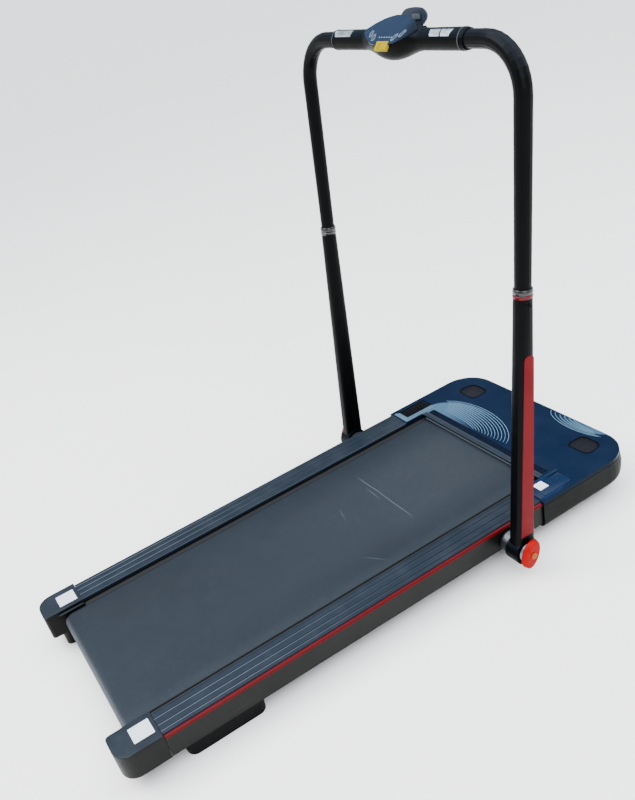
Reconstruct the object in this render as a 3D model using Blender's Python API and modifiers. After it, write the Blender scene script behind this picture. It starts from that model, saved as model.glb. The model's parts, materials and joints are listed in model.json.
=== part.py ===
"""Folding walking-pad treadmill with a U-shaped handrail.

Metres, +X to the walker's right, +Y towards the motor hood, +Z up. The origin is on the floor, under the
middle of the machine. Every named object is one separate piece of the real machine.
"""

import math

import bmesh
import bpy
from mathutils import Vector

# ---------------------------------------------------------------- driving dimensions
GAP = 0.0003  # between touching pieces

RAIL_OUTER_X = 0.2635
RAIL_INNER_X = 0.2005
RAIL_TOP_Z = 0.100
RAIL_BOTTOM_Z = 0.042
REAR_JOINT_Y = -0.5406  # end cap against side rail
HOOD_SEAM_Y = 0.3602  # side rail against hood
REAR_END_Y = -0.6320
HOOD_FRONT_Y = 0.6305  # the top edge; the wall below it bulges a little
HOOD_BULGE = 0.0060
HOOD_HALF_WIDTH = 0.268
HOOD_BOTTOM_Z = 0.0305
HOOD_SPLIT_Z = 0.0900
HOOD_LIP_Y = 0.414  # where the belt runs in under the hood
WALL = 0.003

BELT_HALF_WIDTH = 0.1875
BELT_THICKNESS = 0.0012
DRUM_RADIUS = 0.0201
AXLE_RADIUS = 0.006
ROLLER_Z = 0.0678
FRONT_ROLLER_Y = 0.470
REAR_ROLLER_Y = -0.5735
DECK_TOP_Z = 0.0879
DECK_THICKNESS = 0.015
FRAME_X = (0.2225, 0.2525)
FRAME_Z = (0.0480, 0.0690)

MOTOR_Y = 0.568
MOTOR_Z = 0.062
MOTOR_RADIUS = 0.0265
SHAFT_RADIUS = 0.004
ROLLER_PULLEY_RADIUS = 0.0195
MOTOR_PULLEY_RADIUS = 0.0095
PULLEY_X = (0.1985, 0.2165)

ROCKER_TILT = math.radians(7)

WHEEL_Y = 0.575
WHEEL_Z = 0.023
WHEEL_RADIUS = 0.020

PIVOT_Y = 0.2604
PIVOT_Z = 0.0614
POST_X = 0.3050
LEAN = math.radians(4.77)
HUB_X = (0.2885, 0.3200)
HUB_RADIUS = 0.0300
POST_TOP_T = 0.540  # distances along the leaning post, from the pivot
COLLAR_TOP_T = 0.5615
COLLAR_RADIUS = 0.0166
CROSSBAR_T = 0.9455
TUBE_RADIUS = 0.0147
BEND_RADIUS = 0.080
GRIP_RADIUS = 0.0175
GRIP_X = (0.0863, 0.188)
KNOB_X = (0.3203, 0.3262)  # start of the neck, and back of the grip
KNOB_TILT = math.radians(21)  # the long way of the oval grip, from upright towards the hood
KNOB_NECK_RADIUS = 0.0145
STUD_END = 0.3290

CONSOLE_TILT = math.radians(32) + LEAN  # panel towards the walker, from the crossbar's own frame
PANEL_HALF_LENGTH = 0.074
PANEL_HALF_HEIGHT = 0.0325
PANEL_BACK = 0.0193
PANEL_FRONT = 0.0215
KEY_SIZE = (0.006, 0.014)
KEYS = {
    "mode_key": (-0.0445, -0.0085, 25),
    "start_key": (-0.0300, -0.0165, 25),
    "faster_key": (0.0300, -0.0165, -25),
    "slower_key": (0.0445, -0.0085, -25),
}
SAFETY_KEY_SIZE = (0.034, 0.016, 0.006)
SAFETY_KEY_AT = (0.005, -0.0310, 0.0170)
SAFETY_KEY_TILT = math.radians(18)

FINE, ROUND = 16, 32  # segments of small and of large circles

SIDES = (("left", -1), ("right", 1))

# ---------------------------------------------------------------- scene and materials
COLOURS = {  # slot: (base colour, roughness, metallic)
    "frame_steel": ((0.03, 0.03, 0.033), 0.45, 0.6),
    "bright_steel": ((0.55, 0.55, 0.56), 0.3, 1.0),
    "deck_wood": ((0.42, 0.30, 0.18), 0.7, 0.0),
    "cushion_rubber": ((0.02, 0.02, 0.02), 0.8, 0.0),
    "belt_rubber": ((0.055, 0.066, 0.085), 0.55, 0.0),
    "rail_plastic": ((0.045, 0.065, 0.095), 0.5, 0.0),
    "trim_red": ((0.55, 0.02, 0.03), 0.3, 0.0),
    "cap_plastic": ((0.04, 0.055, 0.08), 0.5, 0.0),
    "foot_rubber": ((0.012, 0.012, 0.013), 0.7, 0.0),
    "hood_plastic": ((0.02, 0.02, 0.02), 0.5, 0.0),
    "hood_gloss": ((0.012, 0.035, 0.085), 0.12, 0.0),
    "display_dark": ((0.006, 0.008, 0.014), 0.1, 0.0),
    "speaker_mesh": ((0.04, 0.035, 0.035), 0.6, 0.3),
    "motor_metal": ((0.10, 0.10, 0.11), 0.45, 0.8),
    "board_metal": ((0.4, 0.4, 0.42), 0.4, 0.9),
    "drive_rubber": ((0.015, 0.015, 0.015), 0.6, 0.0),
    "tube_black": ((0.014, 0.016, 0.02), 0.35, 0.3),
    "grip_plastic": ((0.02, 0.028, 0.04), 0.4, 0.0),
    "console_gloss": ((0.05, 0.07, 0.12), 0.15, 0.0),
    "key_grey": ((0.35, 0.42, 0.52), 0.4, 0.0),
    "safety_yellow": ((0.85, 0.72, 0.02), 0.35, 0.0),
    "knob_red": ((0.7, 0.02, 0.02), 0.3, 0.0),
    "flap_smoke": ((0.06, 0.075, 0.10), 0.2, 0.0),
}


def clear_scene():
    for old in list(bpy.data.objects):
        bpy.data.objects.remove(old, do_unlink=True)


def collection(name):
    made = bpy.data.collections.new(name)
    bpy.context.scene.collection.children.link(made)
    return made


def material(slot):
    made = bpy.data.materials.get(slot)
    if made is None:
        colour, roughness, metallic = COLOURS[slot]
        made = bpy.data.materials.new(slot)
        made.use_nodes = True
        shader = made.node_tree.nodes["Principled BSDF"]
        shader.inputs["Base Color"].default_value = (*colour, 1)
        shader.inputs["Roughness"].default_value = roughness
        shader.inputs["Metallic"].default_value = metallic
    return made


clear_scene()
PARTS = collection("folding_walking_pad")
CUTTERS = collection("cutters")


def add(name, mesh, slot=None, at=(0, 0, 0), turn=(0, 0, 0), parent=None):
    """An object of the machine, or a hidden cutter when it has no material slot."""
    made = bpy.data.objects.new(name, mesh)
    made.location = at
    made.rotation_euler = turn
    made.parent = parent
    if slot:
        mesh.materials.append(material(slot))
        PARTS.objects.link(made)
        mesh.shade_smooth()
        mesh.set_sharp_from_angle(angle=math.radians(32))
    else:
        CUTTERS.objects.link(made)
        made.hide_render = True
        made.display_type = "WIRE"
    return made


def empty(name, at, turn=(0, 0, 0), parent=None):
    made = bpy.data.objects.new(name, None)
    made.location = at
    made.rotation_euler = turn
    made.parent = parent
    PARTS.objects.link(made)
    return made


def mesh_from(name, bm):
    mesh = bpy.data.meshes.new(name)
    bmesh.ops.recalc_face_normals(bm, faces=bm.faces)
    bm.to_mesh(mesh)
    bm.free()
    return mesh


# ---------------------------------------------------------------- shapes
def box(name, low, high, slot=None, round_by=0.0, turn=(0, 0, 0), parent=None):
    """A box between two corners, its origin at its centre."""
    low, high = Vector(low), Vector(high)
    bm = bmesh.new()
    bmesh.ops.create_cube(bm, size=1)
    bmesh.ops.scale(bm, vec=high - low, verts=bm.verts)
    made = add(name, mesh_from(name, bm), slot, (low + high) / 2, turn, parent)
    if round_by:
        soften(made, round_by)
    return made


def soften(piece, width, segments=2, angle=40):
    bevel = piece.modifiers.new("rounded_edges", "BEVEL")
    bevel.width = width
    bevel.segments = segments
    bevel.limit_method = "ANGLE"
    bevel.angle_limit = math.radians(angle)


AXIS_TURN = {"X": (0, math.pi / 2, 0), "Y": (-math.pi / 2, 0, 0), "Z": (0, 0, 0)}


def cylinder(name, at, radius, length, axis, slot=None, segments=ROUND, parent=None):
    bm = bmesh.new()
    bmesh.ops.create_cone(
        bm, cap_ends=True, segments=segments, radius1=radius, radius2=radius, depth=length
    )
    return add(name, mesh_from(name, bm), slot, at, AXIS_TURN[axis], parent)


def turned(name, profile, at, axis, slot=None, steps=ROUND, parent=None, side=1):
    """A ring or a disc: (radius, distance along the axis) points, screwed once round the axis."""
    bm = bmesh.new()
    points = [bm.verts.new((radius, 0, along)) for radius, along in profile]
    for a, b in zip(points, points[1:]):
        bm.edges.new((a, b))
    if profile[0][0] > 0:
        bm.edges.new((points[-1], points[0]))
    mesh = bpy.data.meshes.new(name)
    bm.to_mesh(mesh)
    bm.free()
    turn = AXIS_TURN[axis] if side > 0 else (0, -math.pi / 2, 0)
    made = add(name, mesh, slot, at, turn, parent)
    screw = made.modifiers.new("turned", "SCREW")
    screw.axis = "Z"
    screw.steps = steps
    screw.render_steps = steps
    screw.use_merge_vertices = True
    screw.merge_threshold = 0.00001
    return made


PLANES = {  # an outline's own x and y, laid in world planes, and its thickness along the third axis
    "XY": (0, 0, 0),
    "XZ": (math.pi / 2, 0, 0),
    "YZ": (math.pi / 2, 0, math.pi / 2),
}


def plate(name, loops, thickness, at, plane="XY", slot=None, turn=None, parent=None):
    """A flat outline, with holes if it has more loops, given a thickness about its own plane."""
    curve = bpy.data.curves.new(name, "CURVE")
    curve.dimensions = "2D"
    curve.fill_mode = "BOTH"
    curve.extrude = thickness / 2
    for loop in loops:
        spline = curve.splines.new("POLY")
        spline.points.add(len(loop) - 1)
        spline.use_cyclic_u = True
        for point, (x, y) in zip(spline.points, loop):
            point.co = (x, y, 0, 1)
    return add(name, mesh_of_curve(name, curve), slot, at, turn or PLANES[plane], parent)


def mesh_of_curve(name, curve):
    """The curve's own mesh with its caps welded, and the curve removed."""
    holder = bpy.data.objects.new(name + "_outline", curve)
    CUTTERS.objects.link(holder)
    bpy.context.view_layer.update()
    evaluated = holder.evaluated_get(bpy.context.evaluated_depsgraph_get())
    mesh = bpy.data.meshes.new_from_object(evaluated)
    bpy.data.objects.remove(holder, do_unlink=True)
    bpy.data.curves.remove(curve)
    bm = bmesh.new()
    bm.from_mesh(mesh)
    bmesh.ops.remove_doubles(bm, verts=bm.verts, dist=0.000005)
    bmesh.ops.recalc_face_normals(bm, faces=bm.faces)
    bm.to_mesh(mesh)
    bm.free()
    mesh.materials.clear()
    return mesh


def arc(centre, radius, start, end, steps):
    """Points on a circle, by angle in degrees."""
    for i in range(steps + 1):
        angle = math.radians(start + (end - start) * i / steps)
        yield (centre[0] + radius * math.cos(angle), centre[1] + radius * math.sin(angle))


def rounded(corners, steps=6):
    """A closed outline from (x, y, radius) corners."""
    outline = []
    for i, (x, y, radius) in enumerate(corners):
        here = Vector((x, y))
        if radius <= 0:
            outline.append((x, y))
            continue
        before = (Vector(corners[i - 1][:2]) - here).normalized()
        after = (Vector(corners[(i + 1) % len(corners)][:2]) - here).normalized()
        half = before.angle(after) / 2
        centre = here + (before + after).normalized() * radius / math.sin(half)
        first = here + before * radius / math.tan(half) - centre
        last = here + after * radius / math.tan(half) - centre
        sweep = first.angle_signed(last)
        for k in range(steps + 1):
            angle = -sweep * k / steps
            cos, sin = math.cos(angle), math.sin(angle)
            outline.append(
                (centre.x + first.x * cos - first.y * sin, centre.y + first.x * sin + first.y * cos)
            )
    return outline


def rectangle(half_x, half_y, radius=0.0, steps=4):
    corners = ((-half_x, -half_y), (half_x, -half_y), (half_x, half_y), (-half_x, half_y))
    return rounded([(x, y, radius) for x, y in corners], steps)


def mirrored(outline, side):
    return [(x * side, y) for x, y in outline]


def loft(name, sections, slot=None, at=(0, 0, 0), turn=(0, 0, 0), parent=None):
    """A skin over rings of as many points each, with flat ends."""
    bm = bmesh.new()
    rings = [[bm.verts.new(point) for point in section] for section in sections]
    for lower, upper in zip(rings, rings[1:]):
        for i in range(len(lower)):
            j = (i + 1) % len(lower)
            bm.faces.new((lower[i], lower[j], upper[j], upper[i]))
    bm.faces.new(reversed(rings[0]))
    bm.faces.new(rings[-1])
    return add(name, mesh_from(name, bm), slot, at, turn, parent)


def tube(name, points, radius, slot, wall, parent=None, resolution=6):
    """A hollow round tube along a path."""
    curve = bpy.data.curves.new(name, "CURVE")
    curve.dimensions = "3D"
    curve.bevel_depth = radius
    curve.bevel_resolution = resolution
    spline = curve.splines.new("POLY")
    spline.points.add(len(points) - 1)
    for point, place in zip(spline.points, points):
        point.co = (*place, 1)
    made = add(name, mesh_of_curve(name, curve), slot, parent=parent)
    skin = made.modifiers.new("tube_wall", "SOLIDIFY")
    skin.thickness = wall
    skin.offset = -1
    skin.use_even_offset = True
    return made


def boolean(piece, other, operation="DIFFERENCE"):
    step = piece.modifiers.new(operation.lower(), "BOOLEAN")
    step.operation = operation
    step.object = other
    step.solver = "EXACT"


# ---------------------------------------------------------------- frame, deck and belt
def make_frame():
    x0, x1 = FRAME_X
    z0, z1 = FRAME_Z
    wall = 0.002
    for word, side in SIDES:
        centre = (side * (x0 + x1) / 2, (-0.600 + 0.500) / 2, (z0 + z1) / 2)
        loops = [
            rectangle((x1 - x0) / 2, (z1 - z0) / 2, 0.003, 2),
            rectangle((x1 - x0) / 2 - wall, (z1 - z0) / 2 - wall, 0.0015, 1),
        ]
        plate(f"side_frame_{word}", loops, 1.100, centre, "XZ", "frame_steel")
        low = (side * 0.2295 - 0.005, -0.500, z1 + GAP)
        high = (side * 0.2295 + 0.005, 0.420, DECK_TOP_Z - DECK_THICKNESS - GAP)
        box(f"deck_cushion_{word}", low, high, "cushion_rubber")
    for word, y in (("front", 0.300), ("rear", -0.400)):
        loops = [rectangle(0.015, 0.0095, 0.002, 1), rectangle(0.013, 0.0075)]
        length = 2 * (x0 - GAP)
        plate(f"cross_member_{word}", loops, length, (0, y, 0.0585), "YZ", "frame_steel")
    box(
        "deck_board",
        (-0.236, REAR_JOINT_Y + 0.001, DECK_TOP_Z - DECK_THICKNESS),
        (0.236, 0.4420, DECK_TOP_Z),
        "deck_wood",
        0.001,
    )
    box(
        "belly_pan",
        (-x0 + 0.002, -0.530, 0.0415),
        (x0 - 0.002, HOOD_SEAM_Y - 0.002, 0.0430),
        "frame_steel",
    )


def band(radius_a, radius_b, reach, rise=0.0, steps=16):
    """The outline of a belt round two wheels: the first at the origin, the second at (reach, rise)."""
    tilt = math.degrees(math.atan2(rise, reach))
    wrap = math.degrees(math.asin((radius_a - radius_b) / math.hypot(reach, rise)))
    first = list(arc((0, 0), radius_a, tilt + 90 - wrap, tilt + 270 + wrap, steps))
    second = list(arc((reach, rise), radius_b, tilt - 90 + wrap, tilt + 90 - wrap, steps))
    return first + second


def make_belt():
    inner = DRUM_RADIUS + GAP
    reach = FRONT_ROLLER_Y - REAR_ROLLER_Y
    loops = [
        band(inner + BELT_THICKNESS, inner + BELT_THICKNESS, reach),
        band(inner, inner, reach),
    ]
    centre = (0, REAR_ROLLER_Y, ROLLER_Z)
    plate("running_belt", loops, 2 * BELT_HALF_WIDTH, centre, "YZ", "belt_rubber")
    for word, y in (("front", FRONT_ROLLER_Y), ("rear", REAR_ROLLER_Y)):
        half, bore = BELT_HALF_WIDTH + 0.0015, AXLE_RADIUS + 0.0005
        profile = [
            (DRUM_RADIUS - 0.001, half),
            (DRUM_RADIUS, half - 0.001),
            (DRUM_RADIUS, 0.001 - half),
            (DRUM_RADIUS - 0.001, -half),
            (bore, -half),
            (bore, half),
        ]
        turned(f"{word}_roller", profile, (0, y, ROLLER_Z), "X", "bright_steel")
        length = 2 * (FRAME_X[0] - GAP)
        cylinder(f"{word}_axle", (0, y, ROLLER_Z), AXLE_RADIUS, length, "X", "bright_steel", FINE)


# ---------------------------------------------------------------- drive
def make_drive():
    x0, x1 = PULLEY_X
    bore = AXLE_RADIUS + 0.0005
    centre = ((x0 + x1) / 2, FRONT_ROLLER_Y, ROLLER_Z)
    half = (x1 - x0) / 2
    profile = [
        (ROLLER_PULLEY_RADIUS, half),
        (ROLLER_PULLEY_RADIUS, -half),
        (bore, -half),
        (bore, half),
    ]
    turned("roller_pulley", profile, centre, "X", "bright_steel")

    can = (0.035, 0.165)
    length, middle = can[1] - can[0], (can[0] + can[1]) / 2
    profile = [
        (MOTOR_RADIUS - 0.003, length / 2),
        (MOTOR_RADIUS, length / 2 - 0.003),
        (MOTOR_RADIUS, 0.003 - length / 2),
        (MOTOR_RADIUS - 0.003, -length / 2),
        (SHAFT_RADIUS + 0.0005, -length / 2),
        (SHAFT_RADIUS + 0.0005, length / 2),
    ]
    turned("drive_motor", profile, (middle, MOTOR_Y, MOTOR_Z), "X", "motor_metal")

    shaft_start = 0.020
    profile = [
        (0, x1),
        (MOTOR_PULLEY_RADIUS, x1),
        (MOTOR_PULLEY_RADIUS, x0),
        (SHAFT_RADIUS, x0),
        (SHAFT_RADIUS, shaft_start),
        (0, shaft_start),
    ]
    turned("motor_shaft", profile, (0, MOTOR_Y, MOTOR_Z), "X", "bright_steel", FINE)

    radius, reach = 0.025, 0.0115
    profile = [
        (radius, reach),
        (radius, -reach),
        (SHAFT_RADIUS + GAP, -reach),
        (SHAFT_RADIUS + GAP, reach),
    ]
    turned("flywheel", profile, (0.180, MOTOR_Y, MOTOR_Z), "X", "motor_metal")

    cradle = box(
        "motor_bracket", (0.060, 0.538, 0.0338), (0.140, 0.598, 0.0480), "frame_steel"
    )
    boolean(cradle, cylinder("cradle_cut", (0.1, MOTOR_Y, MOTOR_Z), 0.0270, 0.1, "X"))

    inside = (ROLLER_PULLEY_RADIUS + GAP, MOTOR_PULLEY_RADIUS + GAP)
    reach, rise = MOTOR_Y - FRONT_ROLLER_Y, MOTOR_Z - ROLLER_Z
    loops = [
        band(inside[0] + 0.0015, inside[1] + 0.0015, reach, rise),
        band(inside[0], inside[1], reach, rise),
    ]
    plate("drive_belt", loops, 0.014, centre, "YZ", "drive_rubber")
    make_controller()


def make_controller():
    """The controller's box with cooling fins along its top."""
    fins, pitch, base, top = 8, 0.020, 0.012, 0.032
    outline = [(0, 0), (fins * pitch, 0)]
    for i in range(fins, 0, -1):
        edge = i * pitch
        outline += [(edge, top), (edge - 0.006, top), (edge - 0.006, base), (edge - pitch, base)]
    outline = outline[:-1] + [(0, base)]
    plate("motor_controller", [outline], 0.052, (-0.205, 0.565, 0.0345), "XZ", "board_metal")


# ---------------------------------------------------------------- side rails and end caps
def rail_outline():
    """The cover's cross-section: a ribbed top, an outer wall with a step for the trim, an inner lip."""
    trim_x, trim_z = 0.2585, 0.0905
    groove, depth = 0.0011, 0.0012
    outline = [(RAIL_OUTER_X, RAIL_BOTTOM_Z), (RAIL_OUTER_X, trim_z), (trim_x, trim_z)]
    outline.append((trim_x, RAIL_TOP_Z))
    for x in (0.2487, 0.2335, 0.2160):
        outline += [(x + groove, RAIL_TOP_Z), (x, RAIL_TOP_Z - depth), (x - groove, RAIL_TOP_Z)]
    inner = [
        (RAIL_INNER_X + 0.001, RAIL_TOP_Z),
        (RAIL_INNER_X, RAIL_TOP_Z - 0.001),
        (RAIL_INNER_X, 0.0885),
        (RAIL_INNER_X + 0.002, 0.0885),
        (RAIL_INNER_X + 0.002, RAIL_TOP_Z - WALL),
        (trim_x - WALL, RAIL_TOP_Z - WALL),
        (trim_x - WALL, trim_z - WALL),
        (RAIL_OUTER_X - WALL, trim_z - WALL),
        (RAIL_OUTER_X - WALL, RAIL_BOTTOM_Z),
    ]
    return outline + inner


def trim_outline():
    low = (0.2588, 0.0908)
    return [low] + list(arc(low, 0.0062, 0, 90, 6))


def cap_outline(inset=0.0):
    """Seen from above: square where it meets the rail, round at the outer rear corner."""
    rear, outer = REAR_END_Y + inset, 0.265 - inset
    return rounded(
        [
            (0.195, REAR_JOINT_Y - GAP, 0),
            (0.195, rear, 0.008),
            (outer, rear, 0.032),
            (outer, REAR_JOINT_Y - GAP, 0),
        ],
        8,
    )


def make_rails():
    middle = (REAR_JOINT_Y + HOOD_SEAM_Y) / 2
    length = HOOD_SEAM_Y - REAR_JOINT_Y - 2 * GAP
    for word, side in SIDES:
        rail = plate(
            f"rail_cover_{word}",
            [mirrored(rail_outline(), side)],
            length,
            (0, middle, 0),
            "XZ",
            "rail_plastic",
        )
        hole = cylinder(f"stud_hole_{word}", (side * 0.262, PIVOT_Y, PIVOT_Z), 0.0125, 0.02, "X")
        boolean(rail, hole)
        plate(
            f"rail_trim_{word}",
            [mirrored(trim_outline(), side)],
            length - 0.001,
            (0, middle, 0),
            "XZ",
            "trim_red",
        )
        make_end_cap(word, side)


def make_end_cap(word, side):
    bottom = 0.042
    height = RAIL_TOP_Z - bottom
    cap = plate(
        f"end_cap_{word}",
        [mirrored(cap_outline(), side)],
        height,
        (0, 0, bottom + height / 2),
        "XY",
        "cap_plastic",
    )
    round_edges_at(cap.data, 0.018, -height / 2, REAR_END_Y - 1, REAR_JOINT_Y - 0.002)
    xs = sorted((side * 0.1985, side * 0.2532))
    pocket = box(
        f"cap_pocket_{word}",
        (xs[0], REAR_END_Y + 0.020, bottom + 0.005),
        (xs[1], REAR_JOINT_Y + 0.01, RAIL_TOP_Z - WALL),
    )
    boolean(cap, pocket)
    boolean(cap, cylinder(f"axle_hole_{word}", (side * 0.197, REAR_ROLLER_Y, ROLLER_Z), 0.0065, 0.02, "X"))
    lip_xs = sorted((side * 0.1885, side * 0.1960))
    lip = box(f"cap_lip_{word}", (lip_xs[0], -0.600, 0.0900), (lip_xs[1], REAR_JOINT_Y - 0.001, 0.0945))
    boolean(cap, lip, "UNION")
    stub = cylinder(f"cap_stub_{word}", (side * 0.2145, -0.597, 0.022), 0.013, 0.044, "Z", segments=24)
    boolean(cap, stub, "UNION")


def round_edges_at(mesh, width, level, low_y, high_y):
    """Rounds an extruded outline's edges at one level, where they reach past low_y and below high_y."""
    bm = bmesh.new()
    bm.from_mesh(mesh)
    edges = []
    for edge in bm.edges:
        flat = all(abs(v.co.z - level) < 1e-5 for v in edge.verts)
        border = len(edge.link_faces) == 2 and edge.calc_face_angle(0) > 1.0
        ys = [v.co.y for v in edge.verts]
        if flat and border and max(ys) > low_y and min(ys) < high_y:
            edges.append(edge)
    bmesh.ops.bevel(
        bm, geom=edges, offset=width, segments=4, profile=0.5, affect="EDGES", clamp_overlap=True
    )
    bm.to_mesh(mesh)
    bm.free()


# ---------------------------------------------------------------- hood
def hood_rings(inset, rear, top):
    """Outlines at rising levels: rounded below, and with a front wall that swells between its two edges."""
    bottom, round_by = HOOD_BOTTOM_Z + inset, 0.014 - inset
    rings = []
    for level in (0, 0.0012, 0.0042, 0.0085, round_by + inset, 0.022, 0.031, 0.040, 0.049, HOOD_SPLIT_Z - bottom):
        z = bottom + level
        below = max(0, 1 - level / round_by)
        tuck = round_by * (1 - math.sqrt(1 - below**2))
        swell = HOOD_BULGE * math.cos(math.pi / 2 * (z - 0.0615) / (HOOD_SPLIT_Z - 0.0615))
        x = HOOD_HALF_WIDTH - inset - tuck
        front = HOOD_FRONT_Y - inset - tuck + swell
        corner = 0.075 - inset - tuck
        ring = rounded([(-x, rear, 0), (-x, front, corner), (x, front, corner), (x, rear, 0)], 10)
        rings.append([(px, py, z) for px, py in ring])
    rings[-1] = [(px, py, top) for px, py, _ in rings[-1]]
    return rings


def hood_top_outline(inset=0.0):
    """The top panel: the hood's outline with a notch at the rear where the belt runs in."""
    x, front = HOOD_HALF_WIDTH - 0.0005 - inset, HOOD_FRONT_Y - 0.0005 - inset
    rear, corner = HOOD_SEAM_Y + GAP + inset, 0.0745 - inset
    notch_x, notch_y = RAIL_INNER_X + inset, HOOD_LIP_Y + inset
    return rounded(
        [
            (-x, rear, 0),
            (-x, front, corner),
            (x, front, corner),
            (x, rear, 0),
            (notch_x, rear, 0),
            (notch_x, notch_y, 0),
            (-notch_x, notch_y, 0),
            (-notch_x, rear, 0),
        ],
        10,
    )


def make_hood():
    body = loft("hood_body", hood_rings(0, HOOD_SEAM_Y + GAP, HOOD_SPLIT_Z), "hood_plastic")
    inside = loft("hood_inside", hood_rings(WALL, HOOD_SEAM_Y - 0.01, HOOD_SPLIT_Z + 0.01))
    boolean(body, inside)
    for word, side in SIDES:
        xs = sorted((side * 0.2060, side * 0.2320))
        slot = box(f"wheel_slot_{word}", (xs[0], 0.548, 0.02), (xs[1], 0.602, 0.048))
        boolean(body, slot)
    boolean(body, box("inlet_hole", (-0.1153, 0.61, 0.0507), (-0.0867, 0.65, 0.0713)))
    boolean(body, box("switch_hole", (-0.0670, 0.61, 0.0505), (-0.0530, 0.65, 0.0715)))
    boolean(body, cylinder("breaker_hole", (-0.030, 0.63, 0.061), 0.0050, 0.04, "Y", segments=FINE))
    make_hood_top()
    make_front_panel()


def make_hood_top():
    low, high = HOOD_SPLIT_Z + GAP, RAIL_TOP_Z
    height = high - low
    top = plate("hood_top", [hood_top_outline()], height, (0, 0, (low + high) / 2), "XY", "hood_gloss")
    round_edges_at(top.data, 0.003, height / 2, HOOD_SEAM_Y + 0.002, HOOD_FRONT_Y + 1)
    skin = 0.004
    under = plate(
        "hood_top_underside",
        [hood_top_outline(WALL)],
        height,
        (0, 0, (low + high) / 2 - skin),
    )
    boolean(top, under)
    window = (0.195, 0.0088, 0.0015)
    centre = (0, 0.4375)
    seat = plate(
        "window_seat",
        [rectangle(window[0] + GAP, window[1] + GAP, 0.004)],
        0.01,
        (*centre, high - window[2] - GAP + 0.005),
    )
    boolean(top, seat)
    plate(
        "display_window",
        [rectangle(window[0], window[1], 0.0037)],
        window[2],
        (*centre, high - window[2] / 2),
        "XY",
        "display_dark",
    )
    for word, side in SIDES:
        place = (side * 0.186, 0.567)
        grille = rounded(
            [
                (-0.0285, -0.0205, 0.014),
                (0.0300, -0.0235, 0.014),
                (0.0270, 0.0235, 0.014),
                (-0.0235, 0.0235, 0.018),
            ],
            4,
        )
        grille = mirrored(grille, -side)
        wider = [(x * 1.015, y * 1.02) for x, y in grille]
        boolean(top, plate(f"speaker_seat_{word}", [wider], 0.01, (*place, high + 0.0028)))
        plate(f"speaker_{word}", [grille], 0.0012, (*place, high - 0.0012), "XY", "speaker_mesh")
        recess = plate(
            f"side_recess_{word}",
            [rectangle(0.021, 0.043, 0.003, 2)],
            0.01,
            (side * 0.233, 0.415, high + 0.0035),
        )
        boolean(top, recess)


def make_front_panel():
    """Power inlet, rocker switch and breaker button on the hood's front wall."""
    wall = HOOD_FRONT_Y + HOOD_BULGE
    front = wall + 0.0008
    inlet = box("power_inlet", (-0.115, 0.612, 0.051), (-0.087, front, 0.071), "hood_plastic")
    boolean(inlet, box("inlet_socket", (-0.112, 0.620, 0.054), (-0.090, 0.66, 0.068)))
    rocker = [(-0.006, -0.009), (0.0005, -0.009), (0.0022, 0), (0.0005, 0.009), (-0.006, 0.009)]
    plate(
        "power_switch",
        [rocker],
        0.0126,
        (-0.060, wall - 0.0005, 0.061),
        slot="hood_plastic",
        turn=(math.pi / 2, ROCKER_TILT, math.pi / 2),
    )
    cylinder(
        "breaker_button", (-0.030, front - 0.0050, 0.061), 0.0045, 0.010, "Y", "knob_red", FINE
    )


# ---------------------------------------------------------------- feet and transport wheels
def make_feet():
    for word, side in SIDES:
        foot = plate(
            f"rear_foot_{word}",
            [rectangle(0.025, 0.085, 0.018, 5)],
            RAIL_BOTTOM_Z - 0.0025,
            (side * 0.2300, -0.426, (RAIL_BOTTOM_Z - 0.0025) / 2),
            "XY",
            "foot_rubber",
        )
        soften(foot, 0.005, 2, 50)
        xs = sorted((side * 0.1830, side * 0.2030))
        support = box(
            f"front_foot_{word}",
            (xs[0], 0.548, 0),
            (xs[1], 0.602, HOOD_BOTTOM_Z - GAP),
            "foot_rubber",
            0.002,
        )
        hole_at = (side * 0.1930, WHEEL_Y, WHEEL_Z)
        hole = cylinder(f"foot_hole_{word}", hole_at, 0.0043, 0.030, "X", segments=FINE)
        boolean(support, hole)
        half = 0.0105
        profile = [
            (WHEEL_RADIUS - 0.003, half),
            (WHEEL_RADIUS, half - 0.003),
            (WHEEL_RADIUS, 0.003 - half),
            (WHEEL_RADIUS - 0.003, -half),
            (0.0045, -half),
            (0.0045, half),
        ]
        turned(f"transport_wheel_{word}", profile, (side * 0.219, WHEEL_Y, WHEEL_Z), "X", "foot_rubber")
    cylinder("transport_axle", (0, WHEEL_Y, WHEEL_Z), 0.004, 0.463, "X", "bright_steel", FINE)


# ---------------------------------------------------------------- handrail
def make_hubs():
    """The studs on the base and the knobs on them; both stay with the base when the rail folds."""
    for word, side in SIDES:
        profile = [
            (0, STUD_END),
            (AXLE_RADIUS, STUD_END),
            (AXLE_RADIUS, 0.2880),
            (0.0215, 0.2880),
            (0.0240, 0.2850),
            (0.0245, 0.2700),
            (0.0235, 0.2658),
            (0.0120, 0.2658),
            (0.0120, 0.2530),
            (0, 0.2530),
        ]
        at = (0, PIVOT_Y, PIVOT_Z)
        turned(f"hub_stud_{word}", profile, at, "X", "tube_black", side=side)
        make_knob(word, side)


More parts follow.
